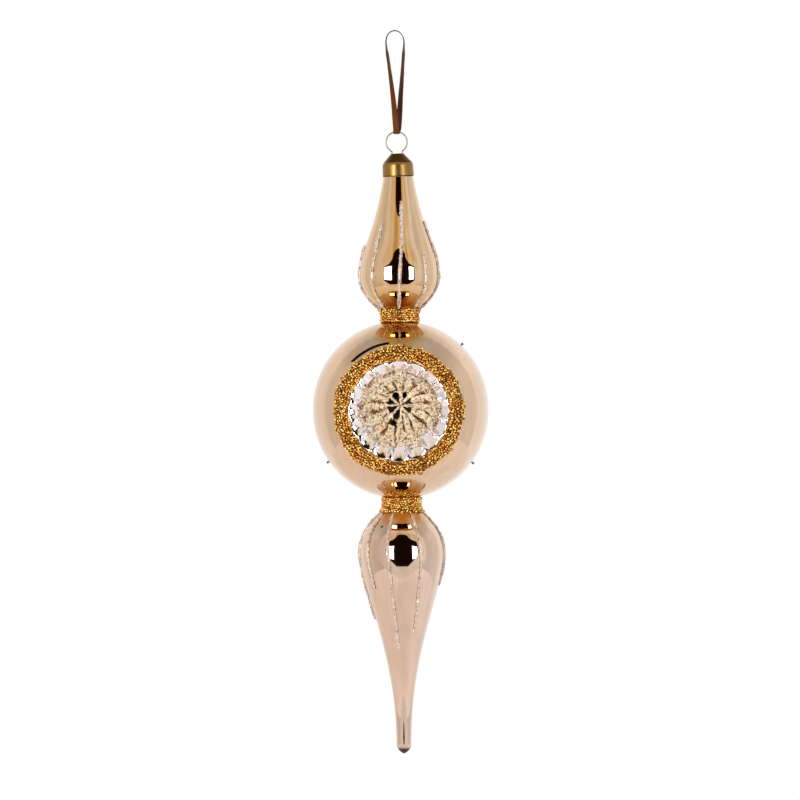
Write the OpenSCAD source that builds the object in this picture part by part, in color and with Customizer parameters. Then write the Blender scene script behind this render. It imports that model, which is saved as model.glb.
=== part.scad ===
// Hanging finial ornament of blown, silvered glass.
// The origin is the centre of the wire ring, +Z is up along the glass, and the reflector faces -Y.
// Heights inside the modules are measured from the centre of the ball, and in_frame() moves them down.

/* [Ball] */
// Diameter of the ball
ball_d = 80.2; // [76:0.1:90]
// Height of the ball over its own diameter
ball_stretch = 1; // [0:0.1:3]
// Radius of the fillet between the ball and each neck
neck_fillet = 1.2; // [0.6:0.1:1.8]

/* [Upper bulb] */
// Diameter of the neck under the upper bulb
upper_neck_d = 15.4; // [13:0.1:17]
// Length of that neck, above the ball
upper_neck_l = 3.8; // [2.5:0.1:8]
// Largest diameter of the upper bulb
upper_bulb_d = 36; // [30:0.5:44]
// Height of its rounded underside, from the neck to the widest point
upper_belly_h = 17.4; // [15:0.1:22]
// Height of its long side, from the widest point to the seat of the cap
upper_side_h = 45.3; // [42:0.1:60]
// Share of the underside's height over which it stays full
upper_belly_full = 0.57; // [0.45:0.01:0.65]
// Share of the long side's height over which it stays full
upper_side_full = 0.3; // [0.2:0.01:0.4]
// Share of the long side's height over which it stays slim
upper_side_slim = 0.62; // [0.5:0.01:0.65]
// Share of the underside's height over which it rises straight from the neck
upper_neck_rise = 0.18; // [0.1:0.01:0.3]
// Flare of the glass where it leaves the cap, in degrees
seat_flare = 9.4; // [4:0.1:12]

/* [Lower bulb] */
// Diameter of the neck above the lower bulb
lower_neck_d = 15.8; // [13:0.1:17]
// Length of that neck, below the ball
lower_neck_l = 4.2; // [2.5:0.1:8]
// Largest diameter of the lower bulb
lower_bulb_d = 38.4; // [32:0.1:46]
// Height of its rounded top, from the neck to the widest point
lower_belly_h = 21.3; // [18:0.1:26]
// Height of the taper, from the widest point to the tip's rounding
taper_h = 87.2; // [70:0.1:110]
// Diameter at the end of the taper
taper_end_d = 6.8; // [5:0.1:9]
// Height of the tip's rounding
tip_h = 4.7; // [3:0.1:7]
// Share of the rounded top's height over which it stays full
lower_belly_full = 0.59; // [0.45:0.01:0.65]
// Share of the taper's height over which it stays full
taper_full = 0.19; // [0.12:0.01:0.3]
// Share of the taper's height over which it stays slim
taper_slim = 0.49; // [0.35:0.01:0.55]
// Share of the rounded top's height over which it drops straight from the neck
lower_neck_drop = 0.15; // [0.1:0.01:0.3]
// Share of the end's radius over which the tip stays blunt
tip_blunt = 0.4; // [0.2:0.05:0.6]
// Share of the tip's height that its point takes
tip_point = 0.13; // [0:0.01:0.3]
// Share of the tip's height over which it stays full
tip_full = 0.6; // [0.4:0.05:0.7]

/* [Glass] */
// Wall of the glass round the chamber of the wire legs
glass_wall = 0.8; // [0.5:0.1:1.2]
// Diameter of the glass at the seat of the cap
seat_d = 13.7; // [12.5:0.1:15]
// Height of the open pipe inside the cap
pipe_h = 5.4; // [4:0.1:6]
// Gap between the pipe and the cap's skirt
pipe_play = 0.55; // [0.45:0.05:0.9]
// Depth of the chamber below the seat of the cap
chamber_depth = 21; // [19:0.1:26]

/* [Reflector] */
// Diameter of the reflector's rim
reflector_d = 44.2; // [38:0.1:50]
// Depth of the fluted wall below the rim
wall_depth = 3.6; // [2.6:0.1:6]
// Diameter of the floor inside the fluted wall
floor_d = 33; // [28:0.1:36]
// Depth of the floor at the edge of the cup, below the foot of the wall
floor_drop = 5; // [2:0.1:6]
// Diameter of the cup in the centre
cup_d = 11; // [8:0.1:14]
// Depth of the cup, below its edge
cup_drop = 0.6; // [0.3:0.1:2]
// Number of flutes
flute_count = 16; // [12:2:18]
// Radial depth of a flute at the rim
flute_lobe = 0.9; // [0.3:0.1:1.4]
// Height of the ridges between the flutes on the floor
flute_ridge = 0.8; // [0.3:0.1:1.2]
// Curve of the fluted wall, where 1 is a straight one
wall_curve = 1.2; // [1:0.1:1.8]
// Offset of the rim's centre to the right
reflector_x = -0.8; // [-2:0.1:2]
// Offset of the rim's centre upwards
reflector_z = -0.5; // [-2:0.1:2]
// Offset of the cup to the right of the rim's centre
cup_x = 0.5; // [-2:0.1:2]
// Offset of the cup above the rim's centre
cup_z = 2.7; // [-3:0.1:3]

/* [Beads and glitter] */
// Thickness of the bead coats
coat_t = 1.1; // [0.8:0.1:1.6]
// Height of a bead over the coat's own surface
bead_bump = 0.45; // [0.2:0.05:0.6]
// Spacing of the bead bumps
bead_pitch = 1.6; // [1.4:0.1:2.4]
// Width of the bead band round the reflector
band_w = 6.4; // [4:0.1:8]
// Gap between the reflector's rim and the bead band
band_gap = 0.2; // [0.1:0.05:0.6]
// Height of the upper bead collar
upper_collar_h = 6.2; // [5:0.1:7]
// Height of the lower bead collar
lower_collar_h = 7; // [5:0.1:8]
// Width of a raised glitter line
line_w = 1.8; // [1.2:0.1:2.4]
// Height of a raised glitter line
line_t = 1; // [0.6:0.1:1.4]
// Width of a spoke of the star in the cup
spoke_w = 1.6; // [1:0.1:1.8]
// Thickness of the star's glitter
star_t = 0.7; // [0.4:0.1:1]
// Diameter of the single beads at the sides of the ball
side_bead_d = 1.2; // [0.8:0.1:2]

/* [Cap] */
// Diameter of the cap at its open rim
cap_d = 14.3; // [14.1:0.1:16]
// Height of the cap
cap_h = 10.3; // [9.5:0.1:12]
// Height of its straight skirt
skirt_h = 5.8; // [5:0.1:6.5]
// Taper of the skirt, from the rim to the shoulder, on the radius
skirt_taper = 0.15; // [0:0.05:0.3]
// Radius of the rounding between the skirt and the cone
shoulder_r = 1.2; // [0.8:0.1:1.4]
// Diameter of the flat on top
cap_top_d = 5.8; // [5.2:0.1:7]
// Thickness of the brass sheet
sheet_t = 0.3; // [0.2:0.05:0.4]
// Tilt of the cap and the ring to the left, in degrees
cap_tilt = 2.3; // [0:0.1:2.5]

/* [Hanger] */
// Diameter of the wire
wire_d = 0.6; // [0.5:0.05:1]
// Outer diameter of the ring
ring_d = 10.2; // [9:0.1:14]
// Straight wire between the ring's bends and the cap
ring_stub = 1.1; // [0.6:0.1:2]
// Gap round the wire in the cap's holes
hole_play = 0.1; // [0.05:0.05:0.2]
// Straight wire below the cap's flat
leg_straight = 12.5; // [11:0.1:13]
// Depth of the leg ends below the seat of the cap
leg_depth = 17; // [15:0.1:18]
// Width of the ribbon
ribbon_w = 2.8; // [2:0.1:4]
// Thickness of the ribbon
ribbon_t = 0.4; // [0.3:0.05:0.5]

/* [Hidden] */
// Clearance between pieces that rest on each other
seat_gap = 0.08;
// Sides of the turned forms
turn_sides = 128;
// Swelling of the wire at a bend
bend_swell = 1.04;
// Steps of each curve of the outline
curve_steps = 16;
// Largest height of one step of a glitter line
line_step = 2.2;
// Share of a glitter line's width and height that it loses at every second step
line_dip = 0.25;
// Share of its width and height that it has at its ends
line_end = 0.5;
// Share of the room beside its neighbours that a spoke of the star fills
spoke_fill = 0.8;
// Angles round the glass from the front, at the collar and at the far end, and share of the upper bulb's
// height, of each glitter line there
upper_lines = [
    [-2, 8, 0.81], [43, 41, 0.43], [84, 74, 0.66], [135, 138, 0.53],
    [180, 175, 0.76], [225, 221, 0.71], [270, 272, 0.48], [314, 321, 0.65]
];
// The same on the lower bulb
lower_lines = [
    [-22.5, -12, 0.565], [24.5, 28.5, 0.49], [84, 83, 0.3], [125, 121, 0.46],
    [170, 175, 0.53], [230, 234, 0.37], [270, 271, 0.44], [302, 311, 0.31]
];
// Angle round the ball's outline, from its right side, of each single side bead
side_bead_angles = [45.8, 214.6, 323.6];
// Middle of the ribbon, from under the ring's wire, up in front, over the top and down behind
ribbon_route = [
    [0, 0, 3.9], [-0.1, -0.6, 4.1], [-0.1, -0.8, 4.8], [-0.2, -0.9, 6.5], [-0.5, -0.9, 10],
    [-0.9, -0.8, 15], [-1.6, -0.6, 22], [-2.4, -0.4, 29], [-3.4, -0.2, 37], [-4.2, 0, 43],
    [-4.4, 0, 46], [-3.9, 0, 48.5], [-2.5, 0, 50.3], [-0.4, 0, 51], [1.7, 0, 50.3],
    [3.2, 0, 48.5], [3.8, 0, 46], [3.7, 0, 43], [3.3, 0.2, 37], [2.7, 0.4, 29],
    [2.1, 0.6, 22], [1.6, 0.8, 15], [1.2, 0.9, 10], [0.8, 0.9, 6.5], [0.3, 0.8, 4.8],
    [0.1, 0.6, 4.1]
];
// Height above the ring over which the ribbon turns edgewise
ribbon_turn_h = 46;

ball_r = ball_d / 2;
upper_neck_r = upper_neck_d / 2;
lower_neck_r = lower_neck_d / 2;
ball_half = ball_stretch / 2;
upper_root_z = ball_half + sqrt(pow(ball_r, 2) - pow(upper_neck_r, 2));
lower_root_z = -ball_half - sqrt(pow(ball_r, 2) - pow(lower_neck_r, 2));
upper_neck_z = upper_root_z + upper_neck_l;
lower_neck_z = lower_root_z - lower_neck_l;
upper_wide_z = upper_neck_z + upper_belly_h;
lower_wide_z = lower_neck_z - lower_belly_h;
seat_z = upper_wide_z + upper_side_h;
taper_z = lower_wide_z - taper_h;
tip_z = taper_z - tip_h;
seat_r = seat_d / 2;
cap_r = cap_d / 2;
pipe_r = cap_r - skirt_taper - sheet_t - pipe_play;
cap_lift = cap_r * sin(cap_tilt) + seat_gap;
ring_r = (ring_d - wire_d) / 2;
leg_x = cap_top_d / 2 - wire_d / 2 - hole_play - sheet_t / 2;
ring_foot = sqrt(pow(ring_r, 2) - pow(leg_x, 2));
eye_h = cap_lift + cap_h + ring_stub + ring_foot;
eye = [-eye_h * sin(cap_tilt), 0, seat_z + eye_h * cos(cap_tilt)];
reflector_r = reflector_d / 2;
rim_y = -sqrt(pow(ball_r, 2) - pow(reflector_r, 2));

// Cubic curve from a to d, without its first point
function curve(a, b, c, d) = [
    for (i = [1:curve_steps])
        let (t = i / curve_steps, u = 1 - t)
            u * u * u * a + 3 * u * u * t * b + 3 * u * t * t * c + t * t * t * d
];

// Rounded corner from a to b round the corner point c, without its first point
function corner(a, c, b) = curve(a, a + (c - a) * 2 / 3, b + (c - b) * 2 / 3, b);

// Point of the ball's outline at a radius, on its upper or lower half
function ball_point(r, half) = [r, half * (ball_half + sqrt(pow(ball_r, 2) - pow(r, 2)))];

// Angle of the ball's outline at the foot of a neck's fillet
function fillet_angle(neck_r) = acos((neck_r + neck_fillet) / ball_r);

// Outline of the glass as [radius, height], from the tip up to the seat of the cap
glass_outline = concat(
    [[0, tip_z]],
    curve(
        [0, tip_z], [taper_end_d / 2 * tip_blunt, tip_z + tip_h * tip_point],
        [taper_end_d / 2, taper_z - tip_h * tip_full], [taper_end_d / 2, taper_z]
    ),
    curve(
        [taper_end_d / 2, taper_z], [taper_end_d / 2, taper_z + taper_h * taper_slim],
        [lower_bulb_d / 2, lower_wide_z - taper_h * taper_full], [lower_bulb_d / 2, lower_wide_z]
    ),
    curve(
        [lower_bulb_d / 2, lower_wide_z],
        [lower_bulb_d / 2, lower_wide_z + lower_belly_h * lower_belly_full],
        [lower_neck_r, lower_neck_z - lower_belly_h * lower_neck_drop], [lower_neck_r, lower_neck_z]
    ),
    [[lower_neck_r, lower_root_z - neck_fillet]],
    corner(
        [lower_neck_r, lower_root_z - neck_fillet], [lower_neck_r, lower_root_z],
        ball_point(lower_neck_r + neck_fillet, -1)
    ),
    [
        for (i = [1:curve_steps])
            let (a = -fillet_angle(lower_neck_r) * (1 - i / curve_steps))
                [ball_r * cos(a), ball_r * sin(a) - ball_half]
    ],
    [
        for (i = [0:curve_steps])
            let (a = fillet_angle(upper_neck_r) * i / curve_steps)
                [ball_r * cos(a), ball_r * sin(a) + ball_half]
    ],
    corner(
        ball_point(upper_neck_r + neck_fillet, 1), [upper_neck_r, upper_root_z],
        [upper_neck_r, upper_root_z + neck_fillet]
    ),
    [[upper_neck_r, upper_neck_z]],
    curve(
        [upper_neck_r, upper_neck_z],
        [upper_neck_r, upper_neck_z + upper_belly_h * upper_neck_rise],
        [upper_bulb_d / 2, upper_wide_z - upper_belly_h * upper_belly_full],
        [upper_bulb_d / 2, upper_wide_z]
    ),
    curve(
        [upper_bulb_d / 2, upper_wide_z],
        [upper_bulb_d / 2, upper_wide_z + upper_side_h * upper_side_full],
        [seat_r, seat_z] + upper_side_h * upper_side_slim * [sin(seat_flare), -cos(seat_flare)],
        [seat_r, seat_z]
    )
);

// The outline as [height, radius], for looking a radius up
outline_by_height = [for (p = glass_outline) [p[1], p[0]]];

// Radius of the glass at a height
function glass_r(z) = lookup(z, outline_by_height);

// Point at a height on the glass, at an angle from the front, a distance out along the surface's normal
function on_glass(z, angle, out, across = 0) =
    let (
        step = 0.2,
        slope = (glass_r(z + step) - glass_r(z - step)) / (2 * step),
        n = [1, -slope] / norm([1, slope]),
        r = glass_r(z) + n[0] * out
    )
    [
        r * sin(angle) + across * cos(angle),
        -r * cos(angle) + across * sin(angle),
        z + n[1] * out
    ];

// Faces between rings of points, where count is how many rings have a next one
function side_faces(count, rings, side) = [
    for (i = [0:count - 1], k = [0:side - 1])
        let (
            next_ring = ((i + 1) % rings) * side,
            next_point = (k + 1) % side
        )
        each [
            [i * side + k, next_ring + next_point, i * side + next_point],
            [i * side + k, next_ring + k, next_ring + next_point]
        ]
];

// Solid through rings of points, with flat ends
module open_sweep(rings) {
    n = len(rings);
    m = len(rings[0]);
    polyhedron(
        points = [for (ring = rings) each ring],
        faces = concat(
            side_faces(n - 1, n, m),
            [[for (k = [0:m - 1]) k]],
            [[for (k = [m - 1:-1:0]) (n - 1) * m + k]]
        ),
        convexity = 6
    );
}

// Solid through rings of points, where the last ring joins the first
module closed_sweep(rings) {
    n = len(rings);
    polyhedron(
        points = [for (ring = rings) each ring],
        faces = side_faces(n, n, len(rings[0])),
        convexity = 6
    );
}

// Moves what is drawn round the ball's centre into the frame of the part
module in_frame() {
    translate(-eye) children();
}

// Puts what is drawn round the middle of the cap's rim in its place on the glass
module on_seat() {
    in_frame() translate([0, 0, seat_z]) rotate([0, -cap_tilt, 0])
        translate([0, 0, cap_lift]) children();
}

// Wave of the flutes, 0.5 in the middle of a flute and -0.5 on the ridge beside it
function flute_wave(angle) = abs(cos(angle * flute_count / 2)) - 0.5;

// Point of the reflector's surface at a nominal radius, at an angle from the top, a distance in front of it
function on_reflector(r, angle, out = 0) =
    let (
        floor_r = floor_d / 2,
        cup_r = cup_d / 2,
        on_wall = max(0, (r - floor_r) / (reflector_r - floor_r)),
        on_floor = min(1, max(0, (r - cup_r) / (floor_r - cup_r))),
        in_cup = min(1, r / cup_r),
        depth = wall_depth * (1 - pow(on_wall, wall_curve))
            + floor_drop * (1 - on_floor) + cup_drop * (1 - pow(in_cup, 2)),
        ridge = flute_ridge * flute_wave(angle) * min(on_floor * 2, 1) * (1 - on_wall),
        lobe = flute_lobe * flute_wave(angle) * min(1.2, on_wall),
        drift = depth / (wall_depth + floor_drop + cup_drop)
    )
    [
        reflector_x + cup_x * drift + (r + lobe) * sin(angle),
        rim_y + depth + ridge - out,
        reflector_z + cup_z * drift + (r + lobe) * cos(angle)
    ];

// Hollow that the reflector presses into the ball, open at the front
module reflector_hollow() {
    around = flute_count * 6;
    front_y = -ball_r - coat_t;
    floor_r = floor_d / 2;
    cup_r = cup_d / 2;
    radii = concat(
        [reflector_r + coat_t],
        [for (i = [3:-1:1]) floor_r + (reflector_r - floor_r) * i / 3],
        [for (i = [3:-1:1]) cup_r + (floor_r - cup_r) * i / 3],
        [for (i = [3:-1:1]) cup_r * i / 3]
    );
    rings = concat(
        [
            [
                for (k = [0:around - 1])
                    let (p = on_reflector(radii[0], 360 * k / around)) [p[0], front_y, p[2]]
            ]
        ],
        [for (r = radii) [for (k = [0:around - 1]) on_reflector(r, 360 * k / around)]]
    );
    open_sweep(rings);
}

// Blown glass, solid below the chamber that the wire legs reach, with the reflector pressed into its front
module glass_body() {
    chamber_z = seat_z - chamber_depth;
    chamber_r = glass_r(chamber_z) - glass_wall;
    chamber_floor_z = chamber_z - chamber_r / 3;
    rise = chamber_depth / curve_steps;
    lip_z = seat_z + pipe_h;
    lip_chamfer = glass_wall / 3;
    color([0.85, 0.73, 0.62]) in_frame() difference() {
        rotate_extrude($fn = turn_sides) polygon(concat(
            glass_outline,
            [
                [pipe_r, seat_z + (seat_r - pipe_r)],
                [pipe_r, lip_z - lip_chamfer],
                [pipe_r - lip_chamfer, lip_z],
                [pipe_r - glass_wall, lip_z],
                [pipe_r - glass_wall, seat_z - rise]
            ],
            [
                for (i = [2:curve_steps])
                    [glass_r(seat_z - i * rise) - glass_wall, seat_z - i * rise]
            ],
            corner([chamber_r, chamber_z], [chamber_r, chamber_floor_z], [0, chamber_floor_z])
        ));
        reflector_hollow();
    }
}

// Outline of the cap as [radius, height], set in by a sheet's thickness for its inner face
function cap_outline(inset) =
    let (
        shoulder = [cap_r - skirt_taper - inset, skirt_h],
        top = [cap_top_d / 2, cap_h - inset],
        along = (top - shoulder) / norm(top - shoulder)
    )
    concat(
        [[cap_r - inset, 0], [shoulder[0], skirt_h - shoulder_r]],
        corner([shoulder[0], skirt_h - shoulder_r], shoulder, shoulder + along * shoulder_r),
        [top, [0, cap_h - inset]]
    );

// Stamped brass cap, open below, with two holes for the wire
module cap() {
    inner = cap_outline(sheet_t);
    color([0.48, 0.34, 0.14]) on_seat() difference() {
        rotate_extrude($fn = turn_sides) polygon(concat(
            cap_outline(0),
            [for (i = [len(inner) - 1:-1:0]) inner[i]]
        ));
        for (side = [-1, 1])
            translate([side * leg_x, 0, cap_h - 3 * sheet_t])
                cylinder(d = wire_d + 2 * hole_play, h = 4 * sheet_t, $fn = 32);
    }
}

// Straight wire from one point of the XZ plane to another, with a round bend at its start
module wire_run(from, to) {
    way = to - from;
    translate([from[0], 0, from[1]]) {
        sphere(d = wire_d * bend_swell, $fn = 32);
        rotate([0, atan2(way[0], way[1]), 0]) cylinder(d = wire_d, h = norm(way), $fn = 32);
    }
}

// End of a leg as [distance from the cap's axis, height over its rim], where its side of the glass is
function leg_end(side, end_x, end_z) =
    let (x = side * end_x, z = end_z - seat_z)
    [side * (x * cos(cap_tilt) + z * sin(cap_tilt)), z * cos(cap_tilt) - x * sin(cap_tilt) - cap_lift];

// One bent wire: the ring, and two legs that spring against the inside of the glass
module hanger_wire() {
    ring_z = eye_h - cap_lift;
    leg_top = [leg_x, ring_z - ring_foot];
    leg_bend = [leg_x, cap_h - leg_straight];
    end_z = seat_z - leg_depth;
    end_x = glass_r(end_z) - glass_wall - seat_gap - wire_d / 2;
    gap_angle = asin(leg_x / ring_r);
    color([0.8, 0.76, 0.66]) on_seat() {
        translate([0, 0, ring_z]) rotate([90, 0, 0]) rotate([0, 0, gap_angle - 90])
            rotate_extrude(angle = 360 - 2 * gap_angle, $fn = 96)
                translate([ring_r, 0]) circle(d = wire_d, $fn = 32);
        for (side = [0, 1]) mirror([side, 0, 0]) {
            wire_run(leg_top, leg_bend);
            wire_run(leg_bend, leg_end(1 - 2 * side, end_x, end_z));
        }
    }
}

// Flat ribbon, looped through the ring
module ribbon_loop() {
    count = len(ribbon_route);
    half = [ribbon_w, ribbon_t] / 2;
    section = [
        [1, -0.5], [1, 0.5], [0.8, 1], [-0.8, 1], [-1, 0.5], [-1, -0.5], [-0.8, -1], [0.8, -1]
    ];
    rings = [
        for (i = [0:count - 1])
            let (
                p = ribbon_route[i],
                ahead = ribbon_route[(i + 1) % count] - ribbon_route[(i + count - 1) % count],
                along = ahead / norm(ahead),
                turn = 90 * min(1, pow(max(0, p[2] - ring_r - wire_d) / ribbon_turn_h, 0.6)),
                wide = [cos(turn), sin(turn), 0],
                flat = cross(along, wide),
                thick = flat / norm(flat),
                across = cross(thick, along)
            )
            [for (s = section) p + across * s[0] * half[0] + thick * s[1] * half[1]]
    ];
    color([0.36, 0.2, 0.09]) closed_sweep(rings);
}

// Height of a bead bump at a row and a column of the coat
function bump(row, column) = bead_bump * ((row + column) % 2);

// Ring of beads glued round a neck, from one height up to another, as thick as a coat in the middle
module bead_collar(low_z, high_z, neck_r) {
    around = 2 * round(PI * (neck_r + coat_t) / bead_pitch);
    rows = round((high_z - low_z) / bead_pitch) + 1;
    edge_t = coat_t / 3;
    rings = [
        for (i = [0:around - 1])
            let (a = -360 * i / around)
            concat(
                [
                    for (j = [0:rows])
                        let (
                            z = low_z + (high_z - low_z) * j / rows,
                            body = max(glass_r(z) + edge_t, neck_r + coat_t - bead_bump),
                            r = body + (j > 0 && j < rows ? bump(i, j) : 0)
                        )
                        [r * sin(a), -r * cos(a), z]
                ],
                [
                    for (j = [rows:-1:0])
                        let (
                            z = low_z + (high_z - low_z) * j / rows,
                            r = glass_r(z) + seat_gap
                        )
                        [r * sin(a), -r * cos(a), z]
                ]
            )
    ];
    color([0.78, 0.54, 0.18]) in_frame() closed_sweep(rings);
}

// Beads round the upper neck, from just above the ball
module upper_bead_collar() {
    low_z = upper_root_z + seat_gap;
    bead_collar(low_z, low_z + upper_collar_h, upper_neck_r);
}

// Beads round the lower neck, from just below the ball
module lower_bead_collar() {
    high_z = lower_root_z - seat_gap;
    bead_collar(high_z - lower_collar_h, high_z, lower_neck_r);
}

// Point over the ball, at a radius and an angle round the reflector, a distance out from the surface
function over_ball(r, angle, out) =
    let (
        x = reflector_x + r * sin(angle),
        z = reflector_z + r * cos(angle),
        over = max(0, abs(z) - ball_half) * sign(z),
        y = -sqrt(pow(ball_r, 2) - pow(x, 2) - pow(over, 2)),
        n = [x, y, over] / ball_r
    )
    [x, y, z] + n * out;

// Band of beads glued round the reflector
module reflector_bead_band() {
    inner_r = reflector_r + flute_lobe / 2 + band_gap;
    around = 2 * round(PI * (inner_r + band_w / 2) / bead_pitch);
    rows = round(band_w / bead_pitch) + 1;
    rings = [
        for (i = [0:around - 1])
            let (a = -360 * i / around)
            concat(
                [
                    for (j = [0:rows])
                        let (
                            r = inner_r + band_w * j / rows,
                            t = j == 0 || j == rows ? coat_t / 2 : coat_t - bead_bump + bump(i, j)
                        )
                        over_ball(r, a, seat_gap + t)
                ],
                [
                    for (j = [3:-1:0])
                        over_ball(inner_r + band_w * j / 3, a, seat_gap)
                ]
            )
    ];
    color([0.78, 0.54, 0.18]) in_frame() closed_sweep(rings);
}

// Raised glitter line up the glass, from one height and angle from the front to another
module glitter_line(from_z, to_z, from_angle, to_angle) {
    steps = ceil((to_z - from_z) / line_step);
    section = [[-0.5, 0], [-0.36, 0.75], [0, 1], [0.36, 0.75], [0.5, 0]];
    rings = [
        for (i = [0:steps])
            let (
                z = from_z + (to_z - from_z) * i / steps,
                angle = from_angle + (to_angle - from_angle) * i / steps,
                grain = i == 0 || i == steps ? line_end : 1 - line_dip * (i % 2)
            )
            [
                for (s = section)
                    on_glass(z, angle, seat_gap + line_t * grain * s[1], line_w * grain * s[0])
            ]
    ];
    color([0.86, 0.78, 0.68]) in_frame() open_sweep(rings);
}

// Glitter line on the upper bulb, up from the bead collar
module upper_line(i) {
    line = upper_lines[i - 1];
    from_z = upper_root_z + upper_collar_h + 4 * seat_gap;
    glitter_line(from_z, from_z + (seat_z - from_z) * line[2], line[0], line[1]);
}

// Glitter line on the lower bulb, down from the bead collar
module lower_line(i) {
    line = lower_lines[i - 1];
    to_z = lower_root_z - lower_collar_h - 4 * seat_gap;
    glitter_line(to_z - (to_z - tip_z) * line[2], to_z, line[1], line[0]);
}

// Finger of glitter on the reflector, from one radius to another, at an angle from the top
module star_finger(from_r, to_r, angle) {
    steps = 5;
    section = [[-1, 0], [-0.7, 0.8], [0, 1], [0.7, 0.8], [1, 0], [0.5, 0], [0, 0], [-0.5, 0]];
    rings = [
        for (i = [0:steps])
            let (
                r = from_r + (to_r - from_r) * i / steps,
                room = r * sin((r > cup_d / 2 ? 180 : 360) / flute_count) * spoke_fill,
                w = r > cup_d / 2 ? room : min(spoke_w / 2, room)
            )
            [
                for (s = section)
                    on_reflector(
                        norm([r, w * s[0]]), angle + atan2(w * s[0], r),
                        2 * seat_gap + star_t * s[1]
                    )
            ]
    ];
    open_sweep(rings);
}

// Star of glitter in the reflector: long spokes from the centre and short fingers between them
module reflector_star() {
    reach = floor_d / 2 - star_t;
    color([0.85, 0.74, 0.6]) in_frame()
        for (k = [0:flute_count - 1])
            star_finger(k % 2 == 0 ? spoke_w / 2 : cup_d / 2 + spoke_w / 2, reach, 360 * k / flute_count);
}

// Single beads at the sides of the ball
module side_beads() {
    out = ball_r + side_bead_d / 2 + seat_gap;
    color([0.35, 0.27, 0.18]) in_frame()
        for (a = side_bead_angles)
            translate([out * cos(a), 0, out * sin(a) + ball_half * sign(sin(a))])
                sphere(d = side_bead_d, $fn = 24);
}

glass_body();
cap();
hanger_wire();
ribbon_loop();
upper_bead_collar();
lower_bead_collar();
reflector_bead_band();
reflector_star();
side_beads();
for (i = [1:len(upper_lines)])
    upper_line(i);
for (i = [1:len(lower_lines)])
    lower_line(i);
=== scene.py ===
"""Hanging finial ornament of blown, silvered glass: the looks of every piece, built round the packed frame."""

import math
from types import SimpleNamespace

import bpy
import numpy as np
from bpy.props import FloatProperty, FloatVectorProperty, IntProperty, PointerProperty
from mathutils import Matrix, Vector


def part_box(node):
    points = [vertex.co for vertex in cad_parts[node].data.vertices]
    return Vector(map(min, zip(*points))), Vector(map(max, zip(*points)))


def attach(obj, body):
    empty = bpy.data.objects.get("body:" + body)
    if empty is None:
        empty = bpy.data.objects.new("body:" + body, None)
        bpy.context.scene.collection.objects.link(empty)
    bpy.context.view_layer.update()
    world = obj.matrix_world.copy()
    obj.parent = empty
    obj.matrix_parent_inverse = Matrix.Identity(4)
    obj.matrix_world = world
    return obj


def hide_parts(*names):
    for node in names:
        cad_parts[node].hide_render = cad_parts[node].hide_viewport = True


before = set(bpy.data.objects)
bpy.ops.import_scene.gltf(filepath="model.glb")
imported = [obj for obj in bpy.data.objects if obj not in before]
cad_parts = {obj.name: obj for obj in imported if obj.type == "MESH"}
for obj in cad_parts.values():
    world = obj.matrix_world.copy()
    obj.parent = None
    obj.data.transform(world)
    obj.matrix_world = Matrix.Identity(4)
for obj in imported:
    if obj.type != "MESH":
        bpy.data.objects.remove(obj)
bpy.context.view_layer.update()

bl_info = {
    "name": "Finial Ornament",
    "version": (1, 0, 0),
    "blender": (4, 5, 0),
    "location": "3D View > Sidebar > Finial",
    "description": "Builds a hanging glass finial with a fluted reflector, bead trim and glitter lines",
    "category": "Object",
}

MM = 0.001
GLASS_LOW, GLASS_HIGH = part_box("glass_body")
SEED = 11

# Angles round the glass in degrees, from the front, at the collar and at the far end, and share of the bulb's
# height, of each glitter line
UPPER_LINES = (
    (-2, 8, 0.81), (43, 41, 0.43), (84, 74, 0.66), (135, 138, 0.53),
    (180, 175, 0.76), (225, 221, 0.71), (270, 272, 0.48), (314, 321, 0.65),
)
LOWER_LINES = (
    (-22.5, -12, 0.565), (24.5, 28.5, 0.49), (84, 83, 0.3), (125, 121, 0.46),
    (170, 175, 0.53), (230, 234, 0.37), (270, 271, 0.44), (302, 311, 0.31),
)

# Where each short finger of the star starts, in mm from the middle of the cup, clockwise from the top
STAR_STARTS = (6.6, 5.2, 5.6, 4, 9.2, 5.6, 5.4, 7.6)

# Middle of the ribbon in metres, from under the ring's wire, up in front, over the top and down behind
RIBBON_ROUTE = (
    (0, 0, 0.0039), (-0.0001, -0.0006, 0.0041), (-0.0001, -0.0008, 0.0048), (-0.0002, -0.0009, 0.0065),
    (-0.0005, -0.0009, 0.01), (-0.0009, -0.0008, 0.015), (-0.0016, -0.0006, 0.022), (-0.0024, -0.0004, 0.029),
    (-0.0034, -0.0002, 0.037), (-0.0042, 0, 0.043), (-0.0044, 0, 0.046), (-0.0039, 0, 0.0485),
    (-0.0025, 0, 0.0503), (-0.0004, 0, 0.051), (0.0017, 0, 0.0503), (0.0032, 0, 0.0485),
    (0.0038, 0, 0.046), (0.0037, 0, 0.043), (0.0033, 0.0002, 0.037), (0.0027, 0.0004, 0.029),
    (0.0021, 0.0006, 0.022), (0.0016, 0.0008, 0.015), (0.0012, 0.0009, 0.01), (0.0008, 0.0009, 0.0065),
    (0.0003, 0.0008, 0.0048), (0.0001, 0.0006, 0.0041),
)

# Rings of the mesh over the reflector's cup and floor, and up its wall
FLOOR_RINGS, WALL_RINGS = 52, 26

# Angles of the section of a raised ridge, from one side over its top to the other
HALF_ROUND = np.radians([-90, -60, -30, 0, 30, 60, 90])[None]

# How far apart beads lie and how high their middle lies over the glass, both over their diameter, and the area
# that each takes when they are closely packed, over the square of how far apart they lie
BEAD_PITCH, BEAD_SEAT, PACKING = 0.97, 0.52, 0.87

# Grains of glitter over the number that would lie side by side, on a line and on the star
LINE_COVER, STAR_COVER = 2.2, 2.4

# Angles in degrees of the single beads on the outline of the ball, from the right and over the top
SIDE_BEAD_ANGLES = (45.8, 214.6, 323.6)

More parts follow.
